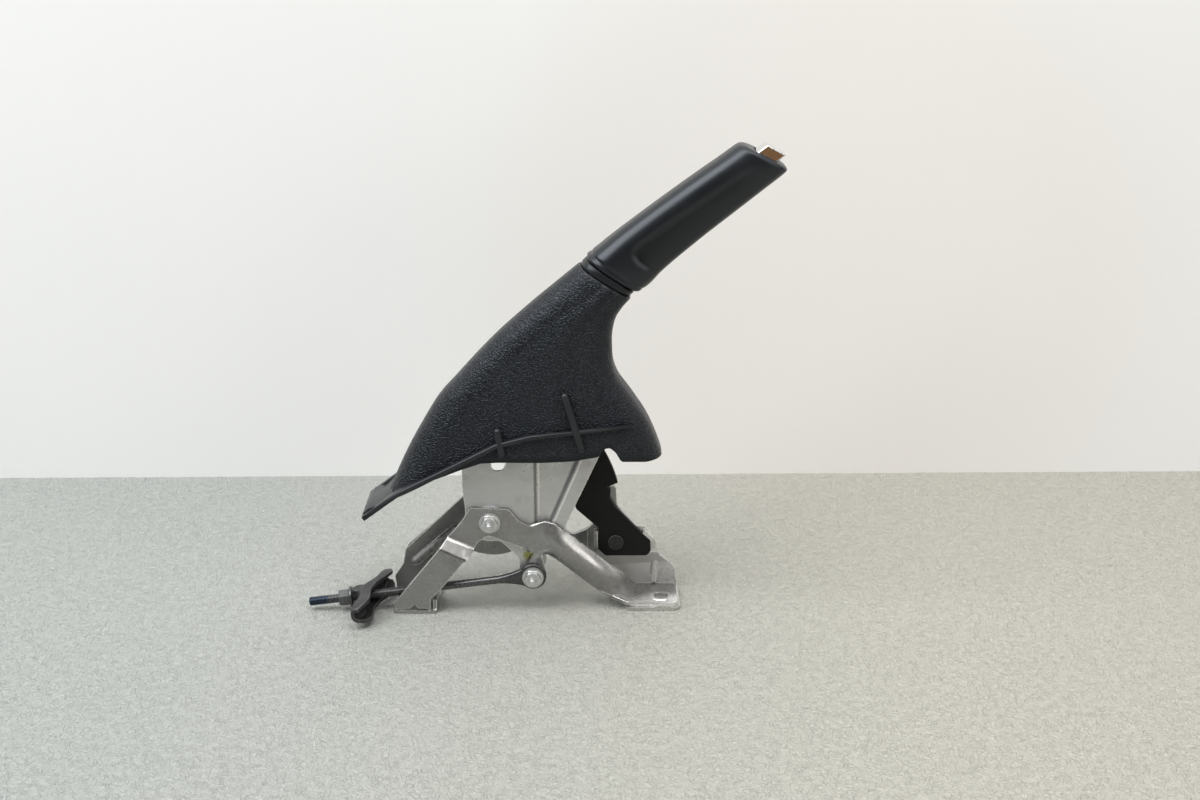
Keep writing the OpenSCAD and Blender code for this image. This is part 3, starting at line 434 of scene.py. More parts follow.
def see_through_from_behind(look):
    """Lets a camera behind a backdrop see past it."""
    side = look.node("ShaderNodeNewGeometry").outputs["Backfacing"]
    seen = look.node("ShaderNodeLightPath").outputs["Is Camera Ray"]
    clear = look.node("ShaderNodeBsdfTransparent").outputs["BSDF"]
    inputs = {0: look.calc("MULTIPLY", side, seen), 1: look.shader.outputs["BSDF"], 2: clear}
    mix = look.node("ShaderNodeMixShader", inputs)
    look.tree.links.new(mix.outputs["Shader"], look.tree.nodes["Material Output"].inputs["Surface"])


def wall_paint(name):
    """White wall with a faint warm painted shadow beside the handle."""
    white, paler, warm = (0.885, 0.887, 0.882), (0.905, 0.905, 0.896), (0.86, 0.825, 0.795)
    shadow_at, shadow_radius, shadow_share = (0.14, 0.25, 0.18), 0.34, 0.6
    look = Look(name, specular=0.2)
    color = look.mixed(look.level(look.noise(2.2), 0.3, 0.7), white, paler)
    # A soft warm painted shadow of the handle on the wall.
    painted_shadow = look.calc("MULTIPLY", look.near(shadow_at, shadow_radius), shadow_share)
    color = look.mixed(painted_shadow, color, warm)
    see_through_from_behind(look)
    return look.finish(color, 0.8, look.bump(look.noise(350.0), 0.04, 0.0003))


def card(name, tone):
    """Matt card of one tone."""
    look = Look(name, specular=0.1)
    color = look.mixed(look.level(look.noise(6.0), 0.3, 0.7), times(tone, 0.8), tone)
    return look.finish(color, 0.9)


# Camera, studio and light, in metres

camera_data = bpy.data.cameras.new("camera")
camera_data.lens = 51.0
camera_data.sensor_width = 36.0
camera = bpy.data.objects.new("camera", camera_data)
camera.location = (-0.0414, -1.0602, 0.4897)
camera.rotation_euler = (math.radians(72.0), 0.0, 0.0)
bpy.context.scene.collection.objects.link(camera)
bpy.context.scene.camera = camera
bpy.context.scene.view_settings.view_transform = "Standard"


def stage_sheet(name, corners, look):
    """A flat sheet of the studio."""
    mesh = bpy.data.meshes.new(name)
    mesh.from_pydata(corners, [], [(0, 1, 2, 3)])
    mesh.materials.append(look)
    made = bpy.data.objects.new(name, mesh)
    bpy.context.scene.collection.objects.link(made)
    return made


def upright(left, right, low, high):
    """Corners of an upright sheet between two places on the floor."""
    return [(*left, low), (*right, low), (*right, high), (*left, high)]


FLOOR_Z, FLOOR_HALF = -0.0002, 3.0
FLOOR_CORNERS = [(x * FLOOR_HALF, y * FLOOR_HALF, FLOOR_Z) for x, y in ((-1, -1), (1, -1), (1, 1), (-1, 1))]
stage_sheet("floor", FLOOR_CORNERS, leatherette("floor_sheet"))
stage_sheet("wall", upright((-1.0, 0.2335), (1.0, 0.2665), -0.01, 2.2), wall_paint("wall_paint"))
# A brown card on the viewer's side, for the chrome button to mirror.
BROWN = (0.24, 0.13, 0.062)
mirrored = stage_sheet("card", upright((-0.1, -1.5), (0.55, -1.5), 0.0, 0.17), card("brown_card", BROWN))
mirrored.visible_camera = False


def area_light(name, place, target, size, power, color):
    """A soft rectangular lamp that faces the target."""
    data = bpy.data.lights.new(name, "AREA")
    data.shape = "RECTANGLE"
    data.size, data.size_y = size
    data.energy = power
    data.color = color
    made = bpy.data.objects.new(name, data)
    made.location = place
    made.rotation_euler = (Vector(target) - Vector(place)).to_track_quat("-Z", "Y").to_euler()
    bpy.context.scene.collection.objects.link(made)


area_light("window", place=(-1.6, -0.9, 2.0), target=(-0.05, 0.05, 0.1), size=(2.0, 1.6), power=59.0,
           color=(0.985, 1.0, 1.0))
area_light("ceiling", place=(0.2, -0.5, 2.3), target=(0.0, 0.0, 0.0), size=(2.4, 2.0), power=50.0,
           color=(1.0, 0.995, 0.98))
area_light("fill", place=(1.5, -1.2, 0.9), target=(0.0, 0.0, 0.15), size=(1.2, 1.2), power=8.0,
           color=(1.0, 0.96, 0.91))
world = bpy.data.worlds.new("room")
world.use_nodes = True
background = world.node_tree.nodes["Background"]
background.inputs["Color"].default_value = (0.93, 0.94, 0.95, 1.0)
background.inputs["Strength"].default_value = 0.12
bpy.context.scene.world = world


# Plastics

SHROUD = pebbled_plastic("shroud_grain")
SATIN = satin_plastic("satin_black", tone=0.017, roughness=0.36)
COLLAR = satin_plastic("collar_black", tone=0.008, roughness=0.36)
GRIP = grip_plastic("grip_skin")
GUIDE = satin_plastic("guide_black", tone=0.005, roughness=0.55)
WASHER = satin_plastic("washer_plastic", tone=0.55, roughness=0.5, cool=0.9)

# Lines of painted highlight and painted shade along the bends of the steel: two ends and a width in
# millimetres, and a colour.
# BEND_HIGHLIGHT is a painted highlight along a bend; SHADED is painted shade beside it.
BEND_HIGHLIGHT, SHADED = (0.86, 0.855, 0.84), (0.15, 0.147, 0.142)
# TAB_HIGHLIGHT and SHEEN_HIGHLIGHT are painted highlights on the steel.
TAB_HIGHLIGHT, SHEEN_HIGHLIGHT = (0.82, 0.815, 0.8), (0.64, 0.635, 0.62)
NEAR_LINES = [
    # Crease of the near leg: a painted highlight with painted shade beside it.
    (*from_pivot([(-34, -8.2), (-9.5, -19.2)]), 1.3, BEND_HIGHLIGHT),
    (*from_pivot([(-37, -13.9), (-13, -25.4)]), 1.1, SHADED),
    # A painted highlight along the upper side of the near arm.
    ((-63, 51.2), (-16, 16.4), 6.5, SHEEN_HIGHLIGHT),
]
LEVER_LINES = [
    # Step and band of the lever: painted shade with a painted highlight beside each.
    (*from_pivot([(30.4, -11), (30.4, 60)]), 1.5, SHADED),
    (*from_pivot([(32.6, -11), (32.6, 60)]), 0.6, BEND_HIGHLIGHT),
    (*from_pivot([(37.6, -7), (64.7, 57.6)]), 1.7, SHADED),
    (*from_pivot([(39.9, -8), (67, 56.6)]), 0.9, BEND_HIGHLIGHT),
]

# Marks on the metal: a place and a radius in metres, and a colour.
# Painted highlight on the top of the near bracket's foot tab.
FOOT_TAB = ((0.001, -0.022, 0.006), 0.032, TAB_HIGHLIGHT)
# Painted highlight on the far bracket's front wall.
FRONT_WALL = ((-0.002, 0.02, 0.022), 0.055, SHEEN_HIGHLIGHT)
PAINT_DAB = ((-0.0893, MID_PLANE * MM - 0.0125, 0.0372), 0.0046, (0.33, 0.34, 0.12))
BLUED_TAIL = (tuple(on_link(146.0, -2.0, 2.0)), 0.009, (0.035, 0.05, 0.075))

# Metals

NEAR_STEEL = steel("near_bracket_steel", (0.28, 0.276, 0.269), spread=0.18, roughness=0.28,
                   marks=[FOOT_TAB], lines=NEAR_LINES)
FAR_STEEL = steel("far_bracket_steel", (0.31, 0.311, 0.302), spread=0.2, roughness=0.34, marks=[FRONT_WALL])
LEVER_STEEL = steel("lever_steel", (0.53, 0.528, 0.524), spread=0.16, roughness=0.34,
                    marks=[PAINT_DAB], lines=LEVER_LINES)
PAWL = steel("pawl_steel", (0.25, 0.25, 0.26), spread=0.25, roughness=0.36)
# Rounded edges of the steel in a brighter metal: partly worn edges, partly painted highlight.
BRIGHT_EDGE = plated("worn_and_highlit_edge", (0.88, 0.875, 0.86), roughness=0.26)
SECTOR = coated_steel("sector_black", tone=0.003, worn=(0.007, 0.007, 0.0075), roughness=0.5, metallic=0.0,
                      specular=0.26)
SECTOR_EDGE = coated_steel("sector_edge", tone=0.03, worn=(0.08, 0.08, 0.083), roughness=0.34, metallic=0.3)
ROD = coated_steel("rod_black", tone=0.095, worn=(0.21, 0.215, 0.22), roughness=0.28, metallic=0.7,
                   marks=[BLUED_TAIL])
RIVET = coated_steel("rivet_black", tone=0.014, worn=(0.05, 0.05, 0.052), roughness=0.28, metallic=0.3)
YOKE = coated_steel("equaliser_black", tone=0.036, worn=(0.1, 0.1, 0.096), roughness=0.44)
YOKE_EDGE = coated_steel("equaliser_edge", tone=0.085, worn=(0.17, 0.168, 0.16), roughness=0.36)
ZINC = plated("zinc", (0.6, 0.61, 0.605), roughness=0.34, metallic=0.75)
ZINC_EDGE = plated("zinc_edge", (0.8, 0.8, 0.79), roughness=0.32)
CHROME = plated("chrome", (0.88, 0.88, 0.89), roughness=0.06)
SPRING = plated("spring_steel", (0.5, 0.5, 0.52), roughness=0.3)
BUSH = plated("bush_bronze", (0.5, 0.36, 0.18), roughness=0.35)


# CAD pieces that stay, with rounded edges; the steel's edges are a brighter metal, partly wear and partly
# painted highlight

WELD_GAP = 0.00002
FLAT_ANGLE = math.radians(0.6)
SMOOTH_ANGLE = math.radians(35)


def smooth_by_angle(angle):
    """Nodes that shade a mesh smooth, apart from edges sharper than the angle."""
    tree = bpy.data.node_groups.new("smooth_by_angle", "GeometryNodeTree")
    tree.interface.new_socket("Geometry", in_out="INPUT", socket_type="NodeSocketGeometry")
    tree.interface.new_socket("Geometry", in_out="OUTPUT", socket_type="NodeSocketGeometry")
    start, end = tree.nodes.new("NodeGroupInput"), tree.nodes.new("NodeGroupOutput")
    faces = tree.nodes.new("GeometryNodeSetShadeSmooth")
    edges = tree.nodes.new("GeometryNodeSetShadeSmooth")
    edges.domain = "EDGE"
    edges.inputs["Shade Smooth"].default_value = False
    sharp = tree.nodes.new("FunctionNodeCompare")
    sharp.operation = "GREATER_THAN"
    sharp.inputs["B"].default_value = angle
    bend = tree.nodes.new("GeometryNodeInputMeshEdgeAngle")
    tree.links.new(bend.outputs["Unsigned Angle"], sharp.inputs["A"])
    tree.links.new(start.outputs[0], faces.inputs["Geometry"])
    tree.links.new(faces.outputs["Geometry"], edges.inputs["Geometry"])
    tree.links.new(sharp.outputs["Result"], edges.inputs["Selection"])
    tree.links.new(edges.outputs["Geometry"], end.inputs[0])
    return tree


SHADING = smooth_by_angle(SMOOTH_ANGLE)


def dress(node, look, edge=None, width=0.2, angle=32, segments=2):
    """Gives a CAD node its material, rounds its edges and gives them a material of their own."""
    made = nodes[node]
    made.data.materials.clear()
    made.data.materials.append(look)
    edge_slot = -1
    if edge is not None:
        made.data.materials.append(edge)
        edge_slot = 1
    weld = made.modifiers.new("weld", "WELD")
    weld.merge_threshold = WELD_GAP
    joined = made.modifiers.new("joined_flats", "DECIMATE")
    joined.decimate_type = "DISSOLVE"
    joined.angle_limit = FLAT_ANGLE
    soften(made, width, segments, angle, edge_slot)
    made.modifiers.new("shading", "NODES").node_group = SHADING
    flat = made.modifiers.new("flat_faces", "WEIGHTED_NORMAL")
    flat.keep_sharp = True


dress("far_bracket", FAR_STEEL, BRIGHT_EDGE, width=0.4, angle=50)
dress("near_bracket", NEAR_STEEL, BRIGHT_EDGE, width=0.45, angle=58)
dress("lever_channel", LEVER_STEEL, BRIGHT_EDGE, width=0.4, angle=52)
dress("ratchet_sector", SECTOR, SECTOR_EDGE, width=0.3)
dress("sector_rivet", RIVET, YOKE_EDGE, width=0.35, angle=20, segments=3)
for name in ("pivot_bolt", "pivot_nut", "clevis_bolt", "clevis_nut", "clevis_spacer", "pawl_pin"):
    dress(name, ZINC, ZINC_EDGE, width=0.22)
for name in ("pivot_washer_near", "pivot_washer_far", "spring_seat"):
    dress(name, WASHER)
dress("pivot_bush", BUSH)
dress("lever_tube", FAR_STEEL)
dress("end_guide", GUIDE, width=0.3)
dress("release_rod", SPRING)
dress("release_button", CHROME, width=0.9, angle=30, segments=4)
dress("pawl", PAWL, width=0.25)
dress("adjusting_nut", ROD, YOKE_EDGE, width=0.25)
dress("equaliser", YOKE, YOKE_EDGE, width=0.5, segments=3)


# Shroud

SPINE = from_pivot([(-75, -2), (-67.6, 18.2), (-55.4, 45.2), (-44.9, 64.4), (-33.2, 83.5), (-21.7, 96.6),
                    (-7.5, 112.4), (6.5, 126.8), (20.4, 139.5), (34.2, 151.5), (59.5, 172.5)])
FRONT = from_pivot([(117, 28), (114.4, 45.2), (105.8, 67.4), (95.3, 84.2), (85.5, 98.1), (82, 108.1),
                    (81.3, 118.2), (81.3, 128.2), (83.3, 138.1), (87.4, 145.2), (92.8, 151.5)])
SKIRT = from_pivot([(-140, -6), (-86, 6.2), (-81.7, 7.2), (-54, 22.1), (-35.7, 31.8), (-17.5, 39.1),
                    (-5, 43.5), (6.1, 44.3), (33.7, 44.3), (54.4, 45.1), (72.3, 48), (75.2, 52),
                    (77.2, 53.8), (79.5, 54.1), (81.6, 53), (84, 50.6), (85.8, 47.4), (87.2, 44.6),
                    (103, 44.6), (113, 45.6), (160, 49)])
BASE_HALF, NECK_HALF = 21.0, 17.2
SPINE_RUN, SPINE_FLAT, SPINE_SHARE = 21.0, 2.5, 0.45
FRONT_RUN, FRONT_FLAT = 12.0, 6.0
SIDE_BULGE = 1.4
SHROUD_WALL = 2.4
CORNER_STEPS, SIDE_STEPS, SHROUD_LEVELS = 16, 120, 46
SEARCH_STEPS, HALVINGS = 160, 12
# The neck's lip: rings as a share of the top ring, and their height above it.
NECK_LIP = [(0.985, 0.5), (0.955, 0.8), (0.9, 0.8), (0.62, 0.4)]

LEDGE = from_pivot([(-84, 7.2), (-61.8, 23.7, 40), (5.3, 58.2, 25), (27.3, 63.9, 40), (92.2, 71.2)])
LEDGE_THICK, LEDGE_OUT, LEDGE_ROOT = 3.4, 4.2, 3.0
LEDGE_BEND_STEPS = 10
# The ledge's section: how far out, and how far up or down from its middle.
LEDGE_SECTION = [(0.0, 1.0), (0.7, 1.0), (0.86, 0.96), (0.96, 0.78), (1.0, 0.4), (1.0, -0.4), (0.96, -0.78),
                 (0.86, -0.96), (0.7, -1.0), (0.0, -1.0)]
# At its front tip the ledge keeps these shares of its thickness and reach; the runs set how fast they grow.
TIP_THICK, TIP_THICK_RUN = 0.6, 8.0
TIP_OUT, TIP_OUT_RUN = 0.5, 6.0

RIBS = [("rear", (6.6, 66.0), (9.2, 51.0), 1.8), ("front", (50.6, 90.0), (61.4, 54.0), 1.6)]
RIB_DIAMETER = 5.2
RIB_CAP_STEPS, RIB_SIZE = 6, 20

TAIL = from_pivot([(-84.2, 7.4), (-80, 11.8), (-72, 15), (-64, 22), (-62, 18), (-81, 6.8)])
TAIL_HALF, TAIL_FLARE, TAIL_RUN = 20.0, 1.6, 22.2


def skirt_height(x):
    """Height of the skirt's edge at x."""
    for a, b in zip(SKIRT, SKIRT[1:]):
        if a[0] <= x <= b[0]:
            return a[1] + (b[1] - a[1]) * (x - a[0]) / (b[0] - a[0])
    return SKIRT[-1][1]


def shroud_columns():
    """The columns of one side, from the spine to the front: which part, and how far along it."""
    corner = [i / CORNER_STEPS for i in range(CORNER_STEPS + 1)]
    side = [i / SIDE_STEPS for i in range(1, SIDE_STEPS)]
    return [("spine", q) for q in corner] + [("side", q) for q in side] + [("front", q) for q in corner]


def shroud_point(t, column):
    """Point of a column at share t of the height, on the side of positive y."""
    s, f = Vector(spline_at(SPINE, t)), Vector(spline_at(FRONT, t))
    half = BASE_HALF + (NECK_HALF - BASE_HALF) * t
    long = (f - s).length
    part, q = column
    run = min(SPINE_RUN, SPINE_SHARE * long)
    if part == "spine":
        x = run * (1 - math.cos(q * math.pi / 2))
        y = SPINE_FLAT + (half - SPINE_FLAT) * math.sin(q * math.pi / 2)
    elif part == "side":
        x = run + (long - run - FRONT_RUN) * q
        y = half + SIDE_BULGE * math.sin(math.pi * q) ** 2
    else:
        x = long - FRONT_RUN * (1 - math.sin(q * math.pi / 2))
        y = FRONT_FLAT + (half - FRONT_FLAT) * math.cos(q * math.pi / 2)
    at = s + (f - s) * (x / long)
    return at[0], y, at[1]


def skirt_crossing(column):
    """Where a column of the shroud rises through the edge of the skirt."""
    for i in range(SEARCH_STEPS):
        x, _, z = shroud_point(i / SEARCH_STEPS, column)
        if z >= skirt_height(x):
            low, high = max(0, i - 1) / SEARCH_STEPS, i / SEARCH_STEPS
            for _ in range(HALVINGS):
                mid = (low + high) / 2
                x, _, z = shroud_point(mid, column)
                low, high = (low, mid) if z >= skirt_height(x) else (mid, high)
            return high
    return 0.0


def shroud_shell():
    """The hollow cover from the skirt's edge up to the neck and its lip."""
    columns = shroud_columns()
    starts = [skirt_crossing(c) for c in columns]
    points = []
    for i in range(SHROUD_LEVELS + 1):
        side = [shroud_point(t0 + (1 - t0) * i / SHROUD_LEVELS, c) for t0, c in zip(starts, columns)]
        points += [placed(*p) for p in side] + [placed(p[0], -p[1], p[2]) for p in side[::-1]]
    size = 2 * len(columns)
    top = points[-size:]
    middle = sum(top, Vector()) / size
    for share, lift in NECK_LIP:
        points += [middle + (p - middle) * share + HANDLE_STEP * lift for p in top]
    faces = loft_faces(SHROUD_LEVELS + 1 + len(NECK_LIP), size)
    made = piece("shroud_shell", points, faces, "lever", [SHROUD, SATIN])
    for polygon in made.data.polygons:
        if polygon.index >= SHROUD_LEVELS * size:
            polygon.material_index = 1
    wall = made.modifiers.new("wall", "SOLIDIFY")
    wall.thickness = SHROUD_WALL * MM
    wall.offset = -1.0
    wall.material_offset_rim = 1
    return made


def shroud_ledge(side, word):
    """The ledge along one side of the shroud, with a thinner tip at the front."""
    path = bent(LEDGE, LEDGE_BEND_STEPS)
    count = len(path)
    inner = BASE_HALF - LEDGE_ROOT
    points = []
    for i, p in enumerate(path):
        ahead = path[min(i + 1, count - 1)] - path[max(i - 1, 0)]
        up = Vector((-ahead[1], ahead[0])).normalized()
        left = (path[-1] - p).length
        taper = min(1.0, TIP_THICK + left / TIP_THICK_RUN)
        outer = BASE_HALF + LEDGE_OUT * min(1.0, TIP_OUT + left / TIP_OUT_RUN)
        for out, high in LEDGE_SECTION:
            at = p + up * (LEDGE_THICK / 2) * (high * taper - 1.0)
            points.append(placed(at[0], side * (inner + (outer - inner) * out), at[1]))
    faces = loft_faces(count, len(LEDGE_SECTION), capped=True)
    piece(f"shroud_ledge_{word}", points, faces, "lever", [SATIN])


def shroud_rib(name, a, b, y):
    """A rib with round ends, from a to b in the plane y."""
    a, b = Vector(a), Vector(b)
    along = (b - a).normalized()
    across = Vector((-along[1], along[0]))
    r = RIB_DIAMETER / 2
    length = (b - a).length
    turns = [math.pi / 2 * k / RIB_CAP_STEPS for k in range(RIB_CAP_STEPS + 1)]
    stations = [(-r * math.cos(q), r * math.sin(q)) for q in turns[1:]]
    stations += [(length + r * math.sin(q), r * math.cos(q)) for q in turns[:-1]]
    points = []
    for s, radius in stations:
        for q in circle(RIB_SIZE):
            at = a + along * s + across * (radius * math.cos(q))
            points.append(placed(at[0], y + radius * math.sin(q), at[1]))
    faces = loft_faces(len(stations), RIB_SIZE, capped=True)
    piece(name, points, faces, "lever", [SATIN])


def shroud_tail():
    """The flat flange behind the shroud, a little wider to the front."""
    points = []
    for side in (-1, 1):
        for x, z in TAIL:
            half = TAIL_HALF + TAIL_FLARE * (x - TAIL[0][0]) / TAIL_RUN
            points.append(placed(x, side * half, z))
    faces = loft_faces(2, len(TAIL), capped=True)
    made = piece("shroud_tail", points, faces, "lever", [SATIN])
    soften(made, width=0.8, segments=3, angle=30)


shell = shroud_shell()
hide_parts("shroud")
for side, word in ((-1, "near"), (1, "far")):
    shroud_ledge(side, word)
    for label, start, end, proud in RIBS:
        a, b = from_pivot([start, end])
        shroud_rib(f"shroud_rib_{label}_{word}", a, b, side * (BASE_HALF + proud))
shroud_tail()


# Grip and collar

TOP, LOW, SIDE = 16.2, -16.2, 15.5
GRIP_END, GRIP_FOOT = 56.9, -67.3
END_SLANT, FOOT_SLANT = 0.47, 0.334
BUTTON_DROP, BUTTON_H, BUTTON_W = 1.5, 12.3, 17.0
BUTTON_ROOM = 0.45
TUBE_HALF = 10.6
COLLAR_LENGTH = 6.4
RING_SIZE, ARC_SIZE, RING_SPACING = 96, 480, 2.0

# The hollow panel lies below a crease, ahead of its foot, and fades out towards the end of the grip.
PANEL_DEPTH, PANEL_CORNER, PANEL_RAMP = 1.7, 14.0, 5.0
CREASE_FROM, CREASE_HEIGHT, CREASE_FALL = -48.7, 6.9, 0.0405
PANEL_FOOT, PANEL_END, PANEL_END_RUN = -51, 56, 22
SHALLOW_FROM, SHALLOW_RUN, SHALLOW_SHARE = -45, 80, 0.5

# Rings of the handle: place along it, slant, top, low side, half width and power of the section.
GRIP_RINGS = [
    (GRIP_END + 0.2, END_SLANT, TOP - 5.4, LOW + 4.6, SIDE - 5, 0.62),
    (GRIP_END, END_SLANT, TOP - 3.2, LOW + 2.4, SIDE - 2.6, 0.64),
    (GRIP_END - 1.2, END_SLANT, TOP - 1.7, LOW + 0.3, SIDE - 1.2, 0.66),
    (GRIP_END - 3.4, END_SLANT, TOP - 0.9, LOW - 0.7, SIDE - 0.5, 0.68),
    (GRIP_END - 10, END_SLANT * 0.98, TOP - 0.8, LOW - 1.1, SIDE, 0.7),
    (38, 0.45, TOP - 0.6, LOW - 1.3, SIDE, 0.7),
    (26, 0.43, TOP - 0.1, LOW - 1.6, SIDE, 0.7),
    (10, 0.42, TOP + 0.3, LOW - 2, SIDE - 0.1, 0.7),
    (-8, 0.4, TOP + 0.6, LOW - 2.4, SIDE - 0.2, 0.7),
    (-24, 0.38, TOP + 0.7, LOW - 3.1, SIDE - 0.1, 0.7),
    (-38, 0.36, TOP + 0.7, LOW - 3.9, SIDE + 0.3, 0.7),
    (-48, 0.34, TOP + 0.5, LOW - 4.9, SIDE + 0.9, 0.7),
    (-55, FOOT_SLANT, TOP + 0.2, LOW - 6.2, SIDE + 1.6, 0.7),
    (GRIP_FOOT + 6, FOOT_SLANT, TOP, LOW - 6.6, SIDE + 1.9, 0.7),
    (GRIP_FOOT + 4.6, FOOT_SLANT, TOP - 0.8, LOW - 6, SIDE + 1.2, 0.7),
    (GRIP_FOOT + 3.4, FOOT_SLANT, TOP, LOW - 6.5, SIDE + 1.8, 0.7),
    (GRIP_FOOT + 1.2, FOOT_SLANT, TOP - 0.2, LOW - 6.2, SIDE + 1.6, 0.7),
    (GRIP_FOOT, FOOT_SLANT, TOP - 1.3, LOW - 5.2, SIDE + 0.6, 0.7),
]
ROOM_TOP = -BUTTON_DROP + BUTTON_H / 2 + BUTTON_ROOM
ROOM_LOW = -BUTTON_DROP - BUTTON_H / 2 - BUTTON_ROOM
ROOM_SIDE = BUTTON_W / 2 + BUTTON_ROOM
OPENING_RINGS = [
    (GRIP_END - 11, END_SLANT, ROOM_TOP + 0.5, ROOM_LOW - 0.5, ROOM_SIDE + 0.5, 0.14),
    (GRIP_END - 1, END_SLANT, ROOM_TOP + 0.1, ROOM_LOW - 0.1, ROOM_SIDE + 0.1, 0.14),
    (GRIP_END + 0.1, END_SLANT, ROOM_TOP + 0.25, ROOM_LOW - 0.25, ROOM_SIDE + 0.25, 0.16),
]
FOOT_RING = (GRIP_FOOT + 0.2, FOOT_SLANT, TUBE_HALF, -TUBE_HALF, TUBE_HALF, 1.0)
COLLAR_RINGS = [
    (GRIP_FOOT + 0.1, FOOT_SLANT, TUBE_HALF, -TUBE_HALF, TUBE_HALF, 1.0),
    (GRIP_FOOT - 0.1, FOOT_SLANT, 14.4, -20.4, 15.6, 0.7),
    (GRIP_FOOT - 0.6, FOOT_SLANT, 14.9, -21.0, 16.2, 0.7),
    (GRIP_FOOT - COLLAR_LENGTH + 1.2, FOOT_SLANT, 14.2, -21.4, 16.4, 0.7),
    (GRIP_FOOT - COLLAR_LENGTH + 0.5, FOOT_SLANT, 13.6, -20.8, 15.8, 0.7),
    (GRIP_FOOT - COLLAR_LENGTH + 0.5, FOOT_SLANT, TUBE_HALF, -TUBE_HALF, TUBE_HALF, 1.0),
]


def panel_share(s, v):
    """How far a point of the grip's side lies in the hollow panel, from 0 to 1."""
    crease = CREASE_HEIGHT - (s - CREASE_FROM) * CREASE_FALL
    under, ahead = crease - v, s - PANEL_FOOT
    room = PANEL_CORNER - math.hypot(max(0.0, PANEL_CORNER - under), max(0.0, PANEL_CORNER - ahead))
    fade = 1 - SHALLOW_SHARE * eased((s - SHALLOW_FROM) / SHALLOW_RUN)
    return fade * eased(room / PANEL_RAMP) * eased((PANEL_END - s) / PANEL_END_RUN)


def even_ring(top, low, half, power):
    """Points at even distances round a rounded section."""
    centre, high = (top + low) / 2, (top - low) / 2
    dense = []
    for i in range(ARC_SIZE + 1):
        q = 2 * math.pi * i / ARC_SIZE
        across = half * squared(math.cos(q), power)
        dense.append(Vector((across, centre + high * squared(math.sin(q), power))))
    run = [0.0]
    for a, b in zip(dense, dense[1:]):
        run.append(run[-1] + (b - a).length)
    ring, k = [], 0
    for i in range(RING_SIZE):
        want = run[-1] * i / RING_SIZE
        while run[k + 1] < want:
            k += 1
        ring.append(dense[k].lerp(dense[k + 1], (want - run[k]) / (run[k + 1] - run[k])))
    return ring


def handle_ring(s, slant, top, low, half, power):
    """Ring round the handle, with the share of the side panel at each point."""
    points, shares = [], []
    for across, v in even_ring(top, low, half, power):
        share = panel_share(s, v) * min(1.0, abs(across) / half) ** 2
        points.append(on_handle(s - slant * v, across - math.copysign(PANEL_DEPTH * share, across), v))
        shares.append(share)
    return points, shares


def handle_piece(name, rings, look):
    """A skin over rings of the handle; its attribute tells the material where the panel is."""
    made_rings = [handle_ring(*r) for r in rings]
    points = [p for ring, _ in made_rings for p in ring]
    made = piece(name, points, loft_faces(len(rings), RING_SIZE), "lever", [look])
    panel = made.data.attributes.new("panel", "FLOAT", "POINT")
    panel.data.foreach_set("value", [d for _, shares in made_rings for d in shares])
    finer = made.modifiers.new("smooth", "SUBSURF")
    finer.levels = 1
    finer.render_levels = 1
    return made


def between(rings, spacing):
    """The rings with more of them in between, no further apart than the spacing."""
    dense = []
    count = len(rings) - 1
    for i, (a, b) in enumerate(zip(rings, rings[1:])):
        steps = max(1, math.ceil(abs(a[0] - b[0]) / spacing))
        dense += [spline_at(rings, (i + k / steps) / count) for k in range(steps)]
    return dense + [rings[-1]]


GRIP_SKIN_RINGS = OPENING_RINGS + between(GRIP_RINGS, RING_SPACING) + [FOOT_RING]
grip = handle_piece("grip_skin", GRIP_SKIN_RINGS, GRIP)
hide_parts("grip")
collar = handle_piece("collar_ring", COLLAR_RINGS, COLLAR)
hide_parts("neck_collar")


# Button spring

SPRING_D, WIRE_D, COILS = 12.0, 1.4, 10
SPRING_FROM, SPRING_TO = -12.0, 30.0
COIL_STEPS, WIRE_SIZE = 24, 10


def spring_coil():
    """A round wire wound about the handle's axis."""
    radius, wire = (SPRING_D - WIRE_D) / 2, WIRE_D / 2
    steps = COILS * COIL_STEPS
    points = []
    for i in range(steps + 1):
        turn = 2 * math.pi * i / COIL_STEPS
        at = SPRING_FROM + wire + (SPRING_TO - SPRING_FROM - WIRE_D) * i / steps
        for q in circle(WIRE_SIZE):
            r = radius + wire * math.cos(q)
            points.append(on_handle(at + wire * math.sin(q), r * math.cos(turn), r * math.sin(turn)))
    faces = loft_faces(steps + 1, WIRE_SIZE, capped=True)
    return piece("spring_coil", points, faces, "lever", [SPRING])


coil = spring_coil()
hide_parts("button_spring")
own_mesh(coil)


# Pull rod with its thread

EYE_D, EYE_T, PIN_D = 18.0, 5.0, 6.1
EYE_ROUND, EYE_ROUND_MIDDLE, BORE_CHAMFER = 1.2, 0.35, 0.4
EYE_TURNS = 48
SHANK_D, THREAD_D, THREAD_PITCH, THREAD_DEPTH = 5.3, 6.0, 1.0, 0.45
THREAD_FROM, ROD_LENGTH = 70.0, 152.0
CREST_TOP, CREST_SLOPE = 2.2, 5.2
RUN_IN_START, RUN_IN, RUN_OUT_END = 0.3, 1.5, 0.35
TURN_SIZE, THREAD_STEPS = 24, 8
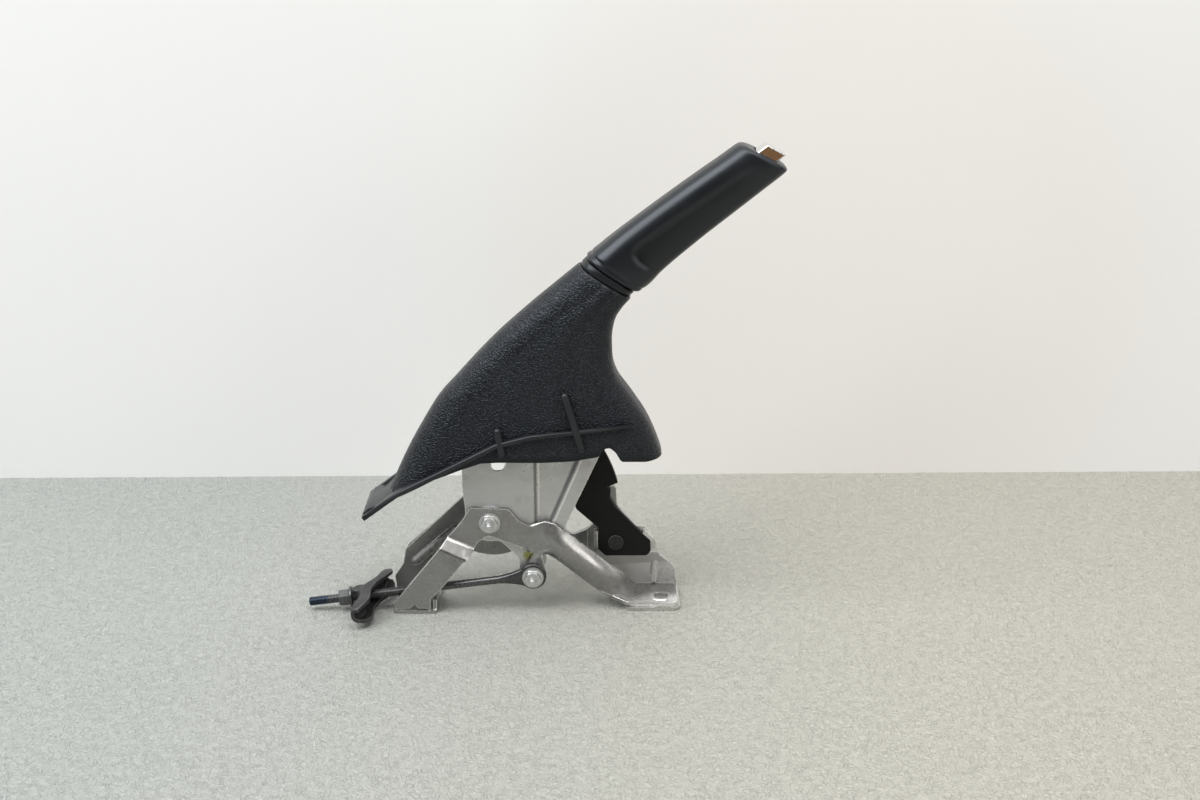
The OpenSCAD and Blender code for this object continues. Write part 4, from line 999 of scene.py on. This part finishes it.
# Neck and shank: place along the rod, half height, half width and power of the section.
NECK = [
    (5.0, 6.9, 2.5, 0.5),
    (9.0, 5.4, 2.5, 0.55),
    (14.0, 4.0, 2.5, 0.65),
    (19.0, 3.1, 2.6, 0.8),
    (24.0, SHANK_D / 2, SHANK_D / 2, 1.0),
    (THREAD_FROM - 1.0, SHANK_D / 2, SHANK_D / 2, 1.0),
]


def rod_body():
    """Forged neck, shank and thread as one skin, from inside the eye to the chamfered end."""
    points = []
    for s, high, half, power in NECK:
        for q in circle(TURN_SIZE):
            points.append(on_link(s, half * squared(math.cos(q), power), high * squared(math.sin(q), power)))
    steps = int((ROD_LENGTH - THREAD_FROM) / THREAD_PITCH * THREAD_STEPS)
    for i in range(steps + 1):
        s = THREAD_FROM + i * THREAD_PITCH / THREAD_STEPS
        ends = min(1.0, (s - THREAD_FROM + RUN_IN_START) / RUN_IN, ROD_LENGTH - s + RUN_OUT_END)
        for k, q in enumerate(circle(TURN_SIZE)):
            phase = (s / THREAD_PITCH - k / TURN_SIZE) % 1.0
            crest = max(0.0, min(1.0, CREST_TOP - abs(phase - 0.5) * CREST_SLOPE))
            r = THREAD_D / 2 - THREAD_DEPTH * (1 - crest * ends)
            points.append(on_link(s, r * math.cos(q), r * math.sin(q)))
    faces = loft_faces(len(NECK) + steps + 1, TURN_SIZE, capped=True)
    return piece("rod_body", points, faces, "pull_rod", [ROD])


def rod_eye():
    """Eye of the rod: a turned ring with rounded edges."""
    inner, outer, half = PIN_D / 2, EYE_D / 2, EYE_T / 2
    upper = [
        (inner, half - BORE_CHAMFER),
        (inner + BORE_CHAMFER, half),
        (outer - EYE_ROUND, half),
        (outer - EYE_ROUND_MIDDLE, half - EYE_ROUND_MIDDLE),
        (outer, half - EYE_ROUND),
    ]
    section = upper + [(r, -y) for r, y in upper[::-1]]
    points = []
    for q in circle(EYE_TURNS):
        points += [on_link(r * math.cos(q), y, r * math.sin(q)) for r, y in section]
    faces = loft_faces(EYE_TURNS, len(section), joined=True)
    piece("rod_eye", points, faces, "pull_rod", [ROD])


rod = rod_body()
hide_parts("pull_rod")
rod_eye()
